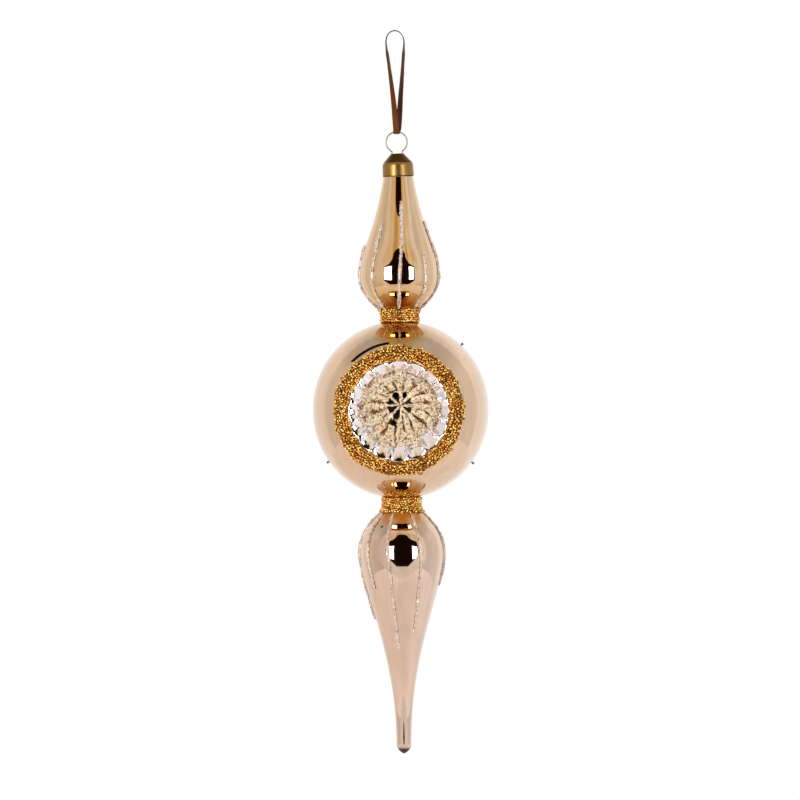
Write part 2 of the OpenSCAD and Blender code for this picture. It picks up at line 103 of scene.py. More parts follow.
# Right half of the opening in the tent, from its top to its foot, right and up from the ball's centre in metres
OPENING = (
    (0, 0.29), (0.06, 0.285), (0.1, 0.262), (0.115, 0.21), (0.167, 0.17), (0.29, 0.15), (0.3, -0.06),
    (0.197, -0.135), (0, -0.205),
)

# Corners of the dark rod, right of the ball's centre and behind it, and its height over the centre, in metres
ROD, ROD_HEIGHT = ((-0.56, 0.07), (-0.09, 0.022), (-0.09, 0.066), (-0.56, 0.145)), 0.54

# Name, distance to the right and width of each softbox, and its height over the ball's centre, in metres, and
# its power in watts per square metre
LAMPS, LAMP_RISE = (("lamp_left", -0.84, 0.64), ("lamp_right", 0.87, 0.42)), 0.04
LAMP_POWER = 9.6 * math.pi


def linear(hex_colour):
    """Linear colour of an sRGB hex value, with full alpha."""
    parts = [int(hex_colour[i : i + 2], 16) / 255 for i in (0, 2, 4)]
    return tuple(c / 12.92 if c <= 0.04045 else ((c + 0.055) / 1.055) ** 2.4 for c in parts) + (1.0,)


def length(name, description, default_mm):
    """A length property, given in millimetres and kept in metres."""
    return FloatProperty(
        name=name, description=description, default=default_mm * MM, min=0, unit="LENGTH", precision=5,
    )


def share(name, description, default):
    """A property for a share of another size."""
    return FloatProperty(
        name=name, description=description, default=default, min=0, max=1, subtype="FACTOR",
    )


def offset(name, description, default_mm):
    """A length property that may be negative, given in millimetres and kept in metres."""
    return FloatProperty(
        name=name, description=description, default=default_mm * MM, unit="LENGTH", precision=5,
    )


def turn(name, description, default_degrees):
    """An angle property, given in degrees and kept in radians."""
    return FloatProperty(
        name=name, description=description, default=math.radians(default_degrees), subtype="ANGLE",
    )


def colour(name, description, hex_colour):
    """A colour property, given as an sRGB hex value and kept linear."""
    return FloatVectorProperty(
        name=name, description=description, default=linear(hex_colour), size=4, min=0, max=1, subtype="COLOR"
    )


class FinialGlass(bpy.types.PropertyGroup):
    """Sizes of the blown glass"""

    ball_d: length("Ball", "Diameter of the ball", 80.2)
    ball_stretch: length("Ball stretch", "Height of the ball over its own diameter", 1)
    neck_fillet: length("Neck fillet", "Radius between the ball and each neck", 1.2)
    upper_neck_d: length("Upper neck", "Diameter of the neck under the upper bulb", 15.4)
    upper_neck_l: length("Upper neck length", "Length of that neck", 3.8)
    upper_bulb_d: length("Upper bulb", "Largest diameter of the upper bulb", 36)
    upper_belly_h: length("Upper underside", "Height from the neck to the widest point", 17.4)
    upper_side_h: length("Upper side", "Height from the widest point to the seat of the cap", 45.3)
    upper_belly_full: share("Upper underside, full", "Share of its height over which it stays full", 0.57)
    upper_side_full: share("Upper side, full", "Share of its height over which it stays full", 0.3)
    upper_side_slim: share("Upper side, slim", "Share of its height over which it stays slim", 0.62)
    upper_neck_rise: share("Upper neck rise", "Share of the underside that rises straight from the neck", 0.18)
    seat_flare: turn("Seat flare", "Flare of the glass where it leaves the cap", 9.4)
    lower_neck_d: length("Lower neck", "Diameter of the neck above the lower bulb", 15.8)
    lower_neck_l: length("Lower neck length", "Length of that neck", 4.2)
    lower_bulb_d: length("Lower bulb", "Largest diameter of the lower bulb", 38.4)
    lower_belly_h: length("Lower top", "Height from the neck to the widest point", 21.3)
    taper_h: length("Taper", "Height from the widest point to the tip's rounding", 87.2)
    taper_end_d: length("Taper end", "Diameter at the end of the taper", 6.8)
    tip_h: length("Tip", "Height of the tip's rounding", 4.7)
    lower_belly_full: share("Lower top, full", "Share of its height over which it stays full", 0.59)
    taper_full: share("Taper, full", "Share of its height over which it stays full", 0.19)
    taper_slim: share("Taper, slim", "Share of its height over which it stays slim", 0.49)
    lower_neck_drop: share("Lower neck drop", "Share of the top that drops straight from the neck", 0.15)
    tip_blunt: share("Tip, blunt", "Share of the end's radius over which the tip stays blunt", 0.4)
    tip_point: share("Tip, point", "Share of the tip's height that its point takes", 0.13)
    tip_full: share("Tip, full", "Share of the tip's height over which it stays full", 0.6)
    wall: length("Wall", "Thickness of the glass", 0.8)
    seat_d: length("Seat", "Diameter of the glass at the seat of the cap", 13.7)
    pipe_d: length("Pipe", "Diameter of the open pipe inside the cap", 12.3)
    pipe_h: length("Pipe height", "Height of the open pipe inside the cap", 5.4)
    chamber_depth: length("Chamber", "Depth of the hollow under the cap", 21)


class FinialReflector(bpy.types.PropertyGroup):
    """Sizes of the fluted reflector"""

    rim_d: length("Rim", "Diameter of the rim", 44.2)
    wall_depth: length("Wall depth", "Depth of the fluted wall below the rim", 3.6)
    floor_d: length("Floor", "Diameter of the floor inside the wall", 33)
    floor_drop: length("Floor drop", "Depth of the floor below the foot of the wall", 5)
    cup_d: length("Cup", "Diameter of the cup in the centre", 12.8)
    cup_drop: length("Cup drop", "Depth of the cup below its edge", 0.6)
    flutes: IntProperty(name="Flutes", description="Number of flutes", default=16, min=8, max=32)
    lobe: length("Flute lobe", "Radial depth of a flute at the rim", 0.9)
    ridge: length("Flute ridge", "Height of the ridges between the flutes", 0.8)
    wall_curve: FloatProperty(
        name="Wall curve", description="Curve of the wall in a flute, where 1 is straight", default=1.15,
    )
    rim_roll: FloatProperty(
        name="Rim roll", description="Curve of the wall at a ridge, where 1 is straight", default=2,
    )
    fold: length("Fold", "Half of the stretch over which the glass is rounded at a fold", 0.5)
    shift_x: offset("Rim offset right", "Offset of the rim's centre to the right", -0.8)
    shift_z: offset("Rim offset up", "Offset of the rim's centre upwards", -0.5)
    cup_x: offset("Cup offset right", "Offset of the cup from the rim's centre", 0.5)
    cup_z: offset("Cup offset up", "Offset of the cup above the rim's centre", 2.7)


class FinialTrim(bpy.types.PropertyGroup):
    """Sizes of the beads and the glitter"""

    bead_d: length("Bead", "Diameter of a bead", 1.3)
    collar_bead_d: length("Collar bead", "Diameter of a bead of the collars", 1.2)
    collar_bead_rise: length("Collar bead rise", "How far a collar's bead may stand above its neighbours", 0.5)
    bead_rise: length("Bead rise", "How far a bead may stand above its neighbours", 0.6)
    bed_t: length("Glue bed", "Thickness of the glue under the beads", 0.45)
    band_w: length("Bead band", "Width of the band round the reflector", 6.4)
    band_gap: length("Band gap", "Gap between the rim and the band", 0.2)
    upper_collar_h: length("Upper collar", "Height of the upper bead collar", 6.2)
    lower_collar_h: length("Lower collar", "Height of the lower bead collar", 7)
    line_w: length("Line width", "Width of a raised glitter line", 1.8)
    line_t: length("Line height", "Height of a raised glitter line", 1)
    lower_line_share: share(
        "Lower line width", "Width of the lower bulb's lines over that of the upper one's", 0.8,
    )
    grain_d: length("Glitter grain", "Size of a grain of glitter", 0.5)
    spoke_w: length("Spoke", "Width of a spoke of the star in the cup", 1.2)
    spoke_fill: share("Spoke fill", "Share of the room beside its neighbours that a spoke fills", 0.9)
    spoke_bend: length("Spoke bend", "How far a spoke wanders sideways", 0.55)
    flake_d: length("Star flake", "Size of a flake of the star's glitter", 0.65)
    star_t: length("Star height", "Thickness of the star's glitter", 1.1)
    side_bead_d: length("Side bead", "Diameter of the single beads at the sides of the ball", 1.2)
    clearance: length("Clearance", "Gap between pieces that rest on each other", 0.08)


class FinialHanger(bpy.types.PropertyGroup):
    """Sizes of the cap's finish, the ring and the ribbon"""

    cap_h: length("Cap height", "Height of the cap, for the place of its patina", 10.3)
    skirt_h: length("Skirt", "Height of the straight skirt, above which the patina starts", 5.8)
    ring_d: length("Ring", "Outer diameter of the ring", 10.2)
    ribbon_w: length("Ribbon", "Width of the ribbon", 2.8)
    ribbon_t: length("Ribbon thickness", "Thickness of the ribbon", 0.4)
    ribbon_turn: turn("Ribbon turn", "How far the strands have turned at mid height", 62)
    ribbon_turn_h: length("Ribbon turn height", "Height over which the strands turn", 30)
    bight_h: length("Bight", "Height at which the strands start to close", 41)


class FinialColours(bpy.types.PropertyGroup):
    """Colours of the finishes"""

    lacquer_top: colour("Lacquer, top", "Lacquer of the upper bulb", "EACBA4")
    lacquer_ball: colour("Lacquer, ball", "Lacquer of the ball", "E8CAAE")
    lacquer_drop: colour("Lacquer, drop", "Lacquer of the lower bulb", "E4CBBA")
    # Painted reflections: amber and golden colour that stands for the gold beads mirrored in the glass round
    # the collars
    painted_bead_reflection: colour("Bead reflection", "Painted amber reflection of the beads round the upper collar", "9A3E08")
    painted_bead_reflection_pale: colour("Bead reflection, pale", "Painted golden reflection of the beads at the ends of the collars", "D29A2E")
    pip: colour("Pip", "Sealed pip at the tip", "1C120E")
    silver: colour("Silver", "Bare silvering of the reflector", "FFFAFF")
    # The darkest stain is painted shade in the gaps between the star's spokes, over the glue's amber
    stain_and_shade: colour("Stain and shade", "Amber glue stain on the silvering, darkest as painted shade between the spokes", "3E240C")
    pale_glue_stain: colour("Pale stain", "The glue's paler amber where it is thinner, on the sloping floor", "8E5E22")
    bead_dark: colour("Bead, dark", "Darkest beads", "8C5A0E")
    bead: colour("Bead", "Most of the beads", "E8A030")
    bead_light: colour("Bead, light", "Lightest beads", "FFE48C")
    glue: colour("Glue", "Glue between the beads", "8A5210")
    line_dark: colour("Line glitter, dark", "Darkest grains of the lines", "96745C")
    line: colour("Line glitter", "Most grains of the lines", "EBD6C4")
    line_low: colour("Line glitter, low", "Most grains of the lower bulb's lines", "E8CEB4")
    line_light: colour("Line glitter, light", "Lightest grains of the lines", "FFFFFF")
    star_dark: colour("Star glitter, dark", "Darkest grains of the star", "8E5418")
    star: colour("Star glitter", "Most grains of the star", "FFE2B2")
    star_light: colour("Star glitter, light", "Lightest grains of the star", "FFFFF4")
    brass: colour("Brass", "Antiqued brass of the cap", "9C7C48")
    brass_dark: colour("Brass, dark", "Patina on the cone of the cap", "62400E")
    wire: colour("Wire", "Bright wire", "A09886")
    ribbon: colour("Ribbon", "Satin face of the ribbon", "82440C")
    # Painted shade on the ribbon: darker near the top of the loop and down the right strand
    ribbon_top_shade: colour("Ribbon, shaded top", "Painted shade near the top of the loop", "6C3616")
    ribbon_shade: colour("Ribbon, shaded strand", "Painted shade down the right strand", "4C1E06")
    side_bead: colour("Side bead", "Single beads at the sides of the ball", "5A4630")


class FinialStage(bpy.types.PropertyGroup):
    """The camera, the light tent and the floor"""

    picture_w: IntProperty(name="Picture", description="Width of the picture in pixels", default=800)
    pixel: length("Pixel", "Size of a pixel at the object", 0.457)
    ball_px_x: FloatProperty(name="Ball right", description="Pixel column of the ball's centre", default=400.7)
    ball_px_y: FloatProperty(name="Ball down", description="Pixel row of the ball's centre", default=409.8)
    lean: turn("Lean", "How far the object leans to the left in the picture", 0.57)
    camera_distance: length("Camera distance", "Distance of the camera", 2000)
    floor_drop: length("Floor", "Height of the tip above the floor", 70)
    floor_r: length("Floor radius", "Radius of the floor", 450)
    tent_y: length("Tent front", "Distance of the tent's open front", 296)
    tent_w: length("Tent width", "Half width of the tent's front", 840)
    room_y: length("Room", "Distance of the dark room behind the camera's opening", 1300)
    lamp_y: length("Lamps", "Distance of the two softboxes", 1200)
    lamp_h: length("Lamp height", "Height of a softbox", 680)


GROUPS = {
    "finial_glass": FinialGlass,
    "finial_reflector": FinialReflector,
    "finial_trim": FinialTrim,
    "finial_hanger": FinialHanger,
    "finial_colours": FinialColours,
    "finial_stage": FinialStage,
}


def levels(g):
    """Heights of the glass from the ball's centre, each from the one before and the size between them."""
    ball_r = g.ball_d / 2
    half = g.ball_stretch / 2
    upper_root = half + math.sqrt(ball_r**2 - (g.upper_neck_d / 2) ** 2)
    lower_root = -half - math.sqrt(ball_r**2 - (g.lower_neck_d / 2) ** 2)
    upper_neck = upper_root + g.upper_neck_l
    lower_neck = lower_root - g.lower_neck_l
    upper_wide = upper_neck + g.upper_belly_h
    lower_wide = lower_neck - g.lower_belly_h
    taper = lower_wide - g.taper_h
    return SimpleNamespace(
        ball_r=ball_r, half=half, upper_root=upper_root, lower_root=lower_root, upper_neck=upper_neck,
        lower_neck=lower_neck, upper_wide=upper_wide, lower_wide=lower_wide, seat=upper_wide + g.upper_side_h,
        taper=taper, tip=taper - g.tip_h,
    )


def ball_centre(g):
    """The ball's centre in the frame: midway across the glass, and as far above the tip as the sizes say."""
    return np.array([(GLASS_LOW[0] + GLASS_HIGH[0]) / 2, 0, GLASS_LOW[2] - levels(g).tip])


def curve(a, b, c, d, steps=40):
    """Cubic curve from a to d with the handles b and c, as an array of points without the first one."""
    t = np.linspace(0, 1, steps + 1)[1:, None]
    a, b, c, d = (np.array(p, dtype=float) for p in (a, b, c, d))
    return (1 - t) ** 3 * a + 3 * (1 - t) ** 2 * t * b + 3 * (1 - t) * t**2 * c + t**3 * d


def corner(a, point, b, steps=8):
    """Rounded corner from a to b, where the handles lie two thirds of the way to the corner's point."""
    a, point, b = (np.array(p, dtype=float) for p in (a, point, b))
    return curve(a, a + (point - a) * 2 / 3, b + (point - b) * 2 / 3, b, steps)


def drop_outline(g):
    """Outline of the lower bulb as radius and height: tip, taper, rounded top, neck and fillet to the ball."""
    z = levels(g)
    end_r, wide_r, neck_r = g.taper_end_d / 2, g.lower_bulb_d / 2, g.lower_neck_d / 2
    foot_r = neck_r + g.neck_fillet
    foot = [foot_r, -z.half - math.sqrt(z.ball_r**2 - foot_r**2)]
    neck_end = [neck_r, z.lower_root - g.neck_fillet]
    return np.vstack([
        curve(
            [0, z.tip], [end_r * g.tip_blunt, z.tip + g.tip_h * g.tip_point],
            [end_r, z.taper - g.tip_h * g.tip_full], [end_r, z.taper], 16,
        ),
        curve(
            [end_r, z.taper], [end_r, z.taper + g.taper_h * g.taper_slim],
            [wide_r, z.lower_wide - g.taper_h * g.taper_full], [wide_r, z.lower_wide],
        ),
        curve(
            [wide_r, z.lower_wide], [wide_r, z.lower_wide + g.lower_belly_h * g.lower_belly_full],
            [neck_r, z.lower_neck - g.lower_belly_h * g.lower_neck_drop], [neck_r, z.lower_neck],
        ),
        [neck_end],
        corner(neck_end, [neck_r, z.lower_root], foot),
    ])


def bulb_outline(g):
    """Outline of the upper bulb as radius and height: fillet on the ball, neck, underside and long side."""
    z = levels(g)
    neck_r, wide_r, seat_r = g.upper_neck_d / 2, g.upper_bulb_d / 2, g.seat_d / 2
    foot_r = neck_r + g.neck_fillet
    foot = [foot_r, z.half + math.sqrt(z.ball_r**2 - foot_r**2)]
    slim = g.upper_side_h * g.upper_side_slim
    return np.vstack([
        [foot],
        corner(foot, [neck_r, z.upper_root], [neck_r, z.upper_root + g.neck_fillet]),
        [[neck_r, z.upper_neck]],
        curve(
            [neck_r, z.upper_neck], [neck_r, z.upper_neck + g.upper_belly_h * g.upper_neck_rise],
            [wide_r, z.upper_wide - g.upper_belly_h * g.upper_belly_full], [wide_r, z.upper_wide],
        ),
        curve(
            [wide_r, z.upper_wide], [wide_r, z.upper_wide + g.upper_side_h * g.upper_side_full],
            [seat_r + slim * math.sin(g.seat_flare), z.seat - slim * math.cos(g.seat_flare)], [seat_r, z.seat],
        ),
    ])


def glass_radius(g, height):
    """Radius of the glass at heights on a neck or a bulb, looked up between the points of its outline."""
    outline = np.vstack([drop_outline(g), bulb_outline(g)])
    return np.interp(height, outline[:, 1], outline[:, 0])


def on_glass(g, height, angle, out, across):
    """Points over a bulb at a height and an angle from the front: out along its normal, and sideways."""
    step = 0.2 * MM
    slope = (glass_radius(g, height + step) - glass_radius(g, height - step)) / (2 * step)
    lean = np.sqrt(1 + slope**2)
    r = glass_radius(g, height) + out / lean
    return np.stack([
        r * np.sin(angle) + across * np.cos(angle),
        -r * np.cos(angle) + across * np.sin(angle),
        height - out * slope / lean,
    ], -1)


def over_ball(g, f, r, angle, out):
    """Points over the ball round the reflector: straight in front of a circle, then out along the normal."""
    z = levels(g)
    x = f.shift_x + r * np.sin(angle)
    up = f.shift_z + r * np.cos(angle)
    over = np.maximum(0, abs(up) - z.half) * np.sign(up)
    y = -np.sqrt(z.ball_r**2 - x**2 - over**2)
    normal = np.stack([x, y, over], -1) / z.ball_r
    return np.stack([x, y, up], -1) + normal * np.asarray(out)[..., None]


def flute_wave(f, angle):
    """Wave of the flutes, about 0.5 in the middle of a flute and -0.4 on the ridge beside it.

    It is the size of a cosine, less a half, with a little added under a root that rounds the ridge.
    """
    rounding = 0.012
    return np.sqrt(np.cos(angle * f.flutes / 2) ** 2 + rounding) - 0.5


def reflector_depth(f, r, angle):
    """Depth of the reflector below its rim, and the wave of its flutes, which is added to it.

    The depth is the sum of a wall that rolls over into the rim, most at the ridges between the flutes, a
    straight slope down to the cup, and a parabola in the cup. The wave fades out at the cup and up the wall.
    """
    rim_r, floor_r, cup_r = f.rim_d / 2, f.floor_d / 2, f.cup_d / 2
    on_wall = np.clip((r - floor_r) / (rim_r - floor_r), 0, 1)
    on_floor = np.clip((r - cup_r) / (floor_r - cup_r), 0, 1)
    in_cup = np.clip(r / cup_r, 0, 1)
    wave = flute_wave(f, angle)
    in_flute = np.clip((wave + 0.35) / 0.5, 0, 1)
    wall = (1 - on_wall) ** (f.rim_roll - (f.rim_roll - f.wall_curve) * in_flute)
    depth = f.wall_depth * wall + f.floor_drop * (1 - on_floor) + f.cup_drop * (1 - in_cup**2)
    return depth, f.ridge * wave * np.minimum(on_floor * 2, 1) * (1 - on_wall)


def on_reflector(g, f, r, angle, out):
    """Points in front of the reflector, where folds are rounded by averaging over a short stretch of radius."""
    steps = np.linspace(-f.fold, f.fold, 5)
    pairs = [reflector_depth(f, abs(r + s), angle) for s in steps]
    depth, ridge = (sum(p[k] for p in pairs) / len(steps) for k in (0, 1))
    rim_r, floor_r = f.rim_d / 2, f.floor_d / 2
    on_wall = np.clip((r - floor_r) / (rim_r - floor_r), 0, 1)
    drift = depth / (f.wall_depth + f.floor_drop + f.cup_drop)
    wide = r + f.lobe * flute_wave(f, angle) * on_wall
    rim_y = -math.sqrt((g.ball_d / 2) ** 2 - rim_r**2)
    edge = over_ball(g, f, rim_r + f.lobe * flute_wave(f, angle), angle, 0 * angle)[..., 1]
    return np.stack([
        f.shift_x + f.cup_x * drift + wide * np.sin(angle),
        rim_y + (edge - rim_y) * on_wall**2 + depth + ridge - out,
        f.shift_z + f.cup_z * drift + wide * np.cos(angle),
    ], -1)


def ball_with_reflector(g, f, around=320):
    """The ball as rings round the reflector's axis: out over the reflector to its rim, then over the ball.

    Past the rim each ring follows one share of the angle from the rim to the back, and each point lies on the
    ball along its direction.
    """
    z = levels(g)
    angle = np.linspace(0, 2 * np.pi, around, endpoint=False)[None, :]
    rim_r = f.rim_d / 2
    floor_rings = np.linspace(0.3 * MM, f.floor_d / 2, FLOOR_RINGS)
    inner = np.concatenate([floor_rings, np.linspace(f.floor_d / 2, rim_r, WALL_RINGS)[1:]])
    rings = [on_reflector(g, f, inner[:, None] + 0 * angle, angle + 0 * inner[:, None], 0)]

    axis = np.array([f.shift_x, -math.sqrt(z.ball_r**2 - f.shift_x**2 - f.shift_z**2), f.shift_z]) / z.ball_r
    side = np.cross([0, 0, 1], axis)
    side = -side / np.linalg.norm(side)
    up = np.cross(side, axis)
    up = up * np.sign(up[2])
    rim = over_ball(g, f, rim_r + f.lobe * flute_wave(f, angle[0]), angle[0], 0 * angle[0])
    way = rim / np.linalg.norm(rim, axis=1, keepdims=True)
    from_axis = np.arccos(way @ axis)
    heading = np.arctan2(way @ side, way @ up)
    # Seventy rings over the ball, a little closer together near the rim
    t = np.linspace(0, 1, 72)[1:-1, None] ** 1.15
    polar = (from_axis * (1 - t) + np.pi * t)[..., None]
    turned = heading[None, :, None]
    way = np.cos(polar) * axis + np.sin(polar) * (np.sin(turned) * side + np.cos(turned) * up)
    flat = way[..., 0] ** 2 + way[..., 1] ** 2
    reach = abs(way[..., 2]) * z.half + np.sqrt(z.ball_r**2 - flat * z.half**2)
    reach = np.where(reach * abs(way[..., 2]) < z.half, z.ball_r / np.sqrt(flat + 1e-12), reach)
    rings.append(way * reach[..., None])
    return np.vstack(rings)


def turned(outline, sides=128):
    """Rings of a turned form: each point of the outline goes once round the axis."""
    angle = np.linspace(0, 2 * np.pi, sides, endpoint=False)
    r, height = outline[:, 0, None], outline[:, 1, None]
    return np.stack([r * np.cos(angle), r * np.sin(angle), height + 0 * angle], -1)


def skin(rings, closed=False):
    """Vertices and faces through rings of points, with a point that closes each end unless the rings close."""
    n, m = rings.shape[:2]
    i = np.arange(n if closed else n - 1)[:, None]
    k = np.arange(m)[None, :]
    after, beside = (i + 1) % n * m, (k + 1) % m
    quads = np.stack([i * m + k, i * m + beside, after + beside, after + k], -1).reshape(-1, 4)
    vertices = rings.reshape(-1, 3)
    if closed:
        return vertices, [quads]
    vertices = np.vstack([vertices, rings[0].mean(0), rings[-1].mean(0)])
    k, beside, last = np.arange(m), (np.arange(m) + 1) % m, (n - 1) * m
    first_end = np.stack([0 * k + n * m, beside, k], -1)
    last_end = np.stack([0 * k + n * m + 1, last + k, last + beside], -1)
    return vertices, [quads, first_end, last_end]


def outwards(vertices, faces):
    """The same faces, all reversed where the solid that they close has a negative volume."""
    volume = 0
    for group in faces:
        p = vertices[group]
        for k in range(1, group.shape[1] - 1):
            volume += np.einsum("ij,ij->i", p[:, 0], np.cross(p[:, k], p[:, k + 1])).sum()
    return faces if volume > 0 else [group[:, ::-1] for group in faces]


def solid(rings, closed=False):
    """A closed skin with its faces outwards."""
    vertices, faces = skin(rings, closed)
    return vertices, outwards(vertices, faces)


def moved(part, by):
    """The same solid, moved."""
    return part[0] + by, part[1]


def joined(parts):
    """Vertices and faces of several solids as one."""
    vertices, faces, start = [], [], 0
    for part_vertices, part_faces in parts:
        vertices.append(part_vertices)
        faces += [group + start for group in part_faces]
        start += len(part_vertices)
    return np.vstack(vertices), faces


def copies(shape, places, sizes, turns):
    """One small solid repeated: its points times each size, turned by each matrix and moved to each place."""
    vertices, faces = shape
    turned_points = np.einsum("nij,vj->nvi", turns, vertices)
    points = turned_points * sizes[:, None, None] + places[:, None, :]
    starts = np.arange(len(places))[:, None, None] * len(vertices)
    return points.reshape(-1, 3), [(group[None] + starts).reshape(-1, group.shape[1]) for group in faces]


def random_turns(rng, count):
    """Random rotations, as the matrices of random unit quaternions."""
    q = rng.normal(size=(count, 4))
    w, x, y, z = (q / np.linalg.norm(q, axis=1, keepdims=True)).T
    return np.stack([
        np.stack([1 - 2 * (y * y + z * z), 2 * (x * y - w * z), 2 * (x * z + w * y)], -1),
        np.stack([2 * (x * y + w * z), 1 - 2 * (x * x + z * z), 2 * (y * z - w * x)], -1),
        np.stack([2 * (x * z - w * y), 2 * (y * z + w * x), 1 - 2 * (x * x + y * y)], -1),
    ], 1)


def bead_shape():
    """A small round bead of diameter 1: five rows round a ball of eight sides."""
    polar = np.linspace(0, np.pi, 6)[1:-1]
    return solid(turned(np.stack([np.sin(polar), -np.cos(polar)], -1) / 2, 8))


def grain_shape():
    """A grain of glitter of size 1: a flattened octahedron."""
    vertices = np.array([[1, 0, 0], [0, 1, 0], [-1, 0, 0], [0, -1, 0], [0, 0, 0.6], [0, 0, -0.6]]) / 2
    k = np.arange(4)
    top = np.stack([k, (k + 1) % 4, 0 * k + 4], -1)
    bottom = np.stack([(k + 1) % 4, k, 0 * k + 5], -1)
    return vertices, [np.vstack([top, bottom])]


def spread(rng, count, size, pitch, rounds=40):
    """Random points on a strip that closes on itself lengthwise, pushed apart until they lie a pitch apart.

    In each round every point moves away from all that are nearer than the pitch, by a little less than half of
    what is missing.
    """
    points = rng.random((count, 2)) * size
    for _ in range(rounds):
        away = points[:, None] - points[None]
        away[..., 0] -= np.round(away[..., 0] / size[0]) * size[0]
        gap = np.linalg.norm(away, axis=2) + np.eye(count)
        push = np.clip(pitch - gap, 0, None) / gap
        np.fill_diagonal(push, 0)
        points = points + (away * push[..., None]).sum(1) * 0.45
        points[:, 0] %= size[0]
        points[:, 1] = np.clip(points[:, 1], 0, size[1])
    return points


def packed(rng, size, pitch):
    """Points a pitch apart on a strip that closes on itself, as many as fill it in close packing."""
    return spread(rng, int(size[0] * (size[1] + pitch) / (pitch**2 * PACKING)), size, pitch)


def make_piece(name, part, materials, replaces=(), smooth=True, tint=None, finish=None):
    """A finished object at the origin: its mesh, its materials, its body and the nodes that it stands for.

    The tint gives each point its shade, and the finish is the number of each face's material.
    """
    vertices, faces = part
    mesh = bpy.data.meshes.new(name)
    mesh.from_pydata(vertices.tolist(), [], [face for group in faces for face in group.tolist()])
    mesh.polygons.foreach_set("use_smooth", np.broadcast_to(smooth, len(mesh.polygons)).astype(bool))
    if tint is not None:
        mesh.attributes.new("tint", "FLOAT", "POINT").data.foreach_set("value", tint.astype(np.float32))
    for material in materials:
        mesh.materials.append(material)
    if finish is not None:
        mesh.polygons.foreach_set("material_index", finish.astype(np.int32))
    mesh.update()
    made = bpy.data.objects.new(name, mesh)
    bpy.context.scene.collection.objects.link(made)
    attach(made, "root")
    if replaces:
        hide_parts(*replaces)
    return made


def node(tree, kind, inputs=None, stops=None, **settings):
    """Adds a node with its settings, links or sets its inputs, and sets the stops of its ramp."""
    made = tree.nodes.new(kind)
    for key, value in settings.items():
        setattr(made, key, value)
    for key, value in (inputs or {}).items():
        if isinstance(value, bpy.types.NodeSocket):
            tree.links.new(value, made.inputs[key])
        else:
            made.inputs[key].default_value = value
    if stops:
        ramp = made.color_ramp
        while len(ramp.elements) < len(stops):
            ramp.elements.new(1)
        for element, (position, value) in zip(ramp.elements, stops):
            element.position = position
            element.color = value
    return made


def new_material(name):
    """An empty node material with its tree."""
    material = bpy.data.materials.new(name)
    material.use_nodes = True
    material.node_tree.nodes.clear()
    return material, material.node_tree


def surface(tree, inputs):
    """The material's one shader and its output."""
    shader = node(tree, "ShaderNodeBsdfPrincipled", inputs)
    node(tree, "ShaderNodeOutputMaterial", {"Surface": shader.outputs[0]})


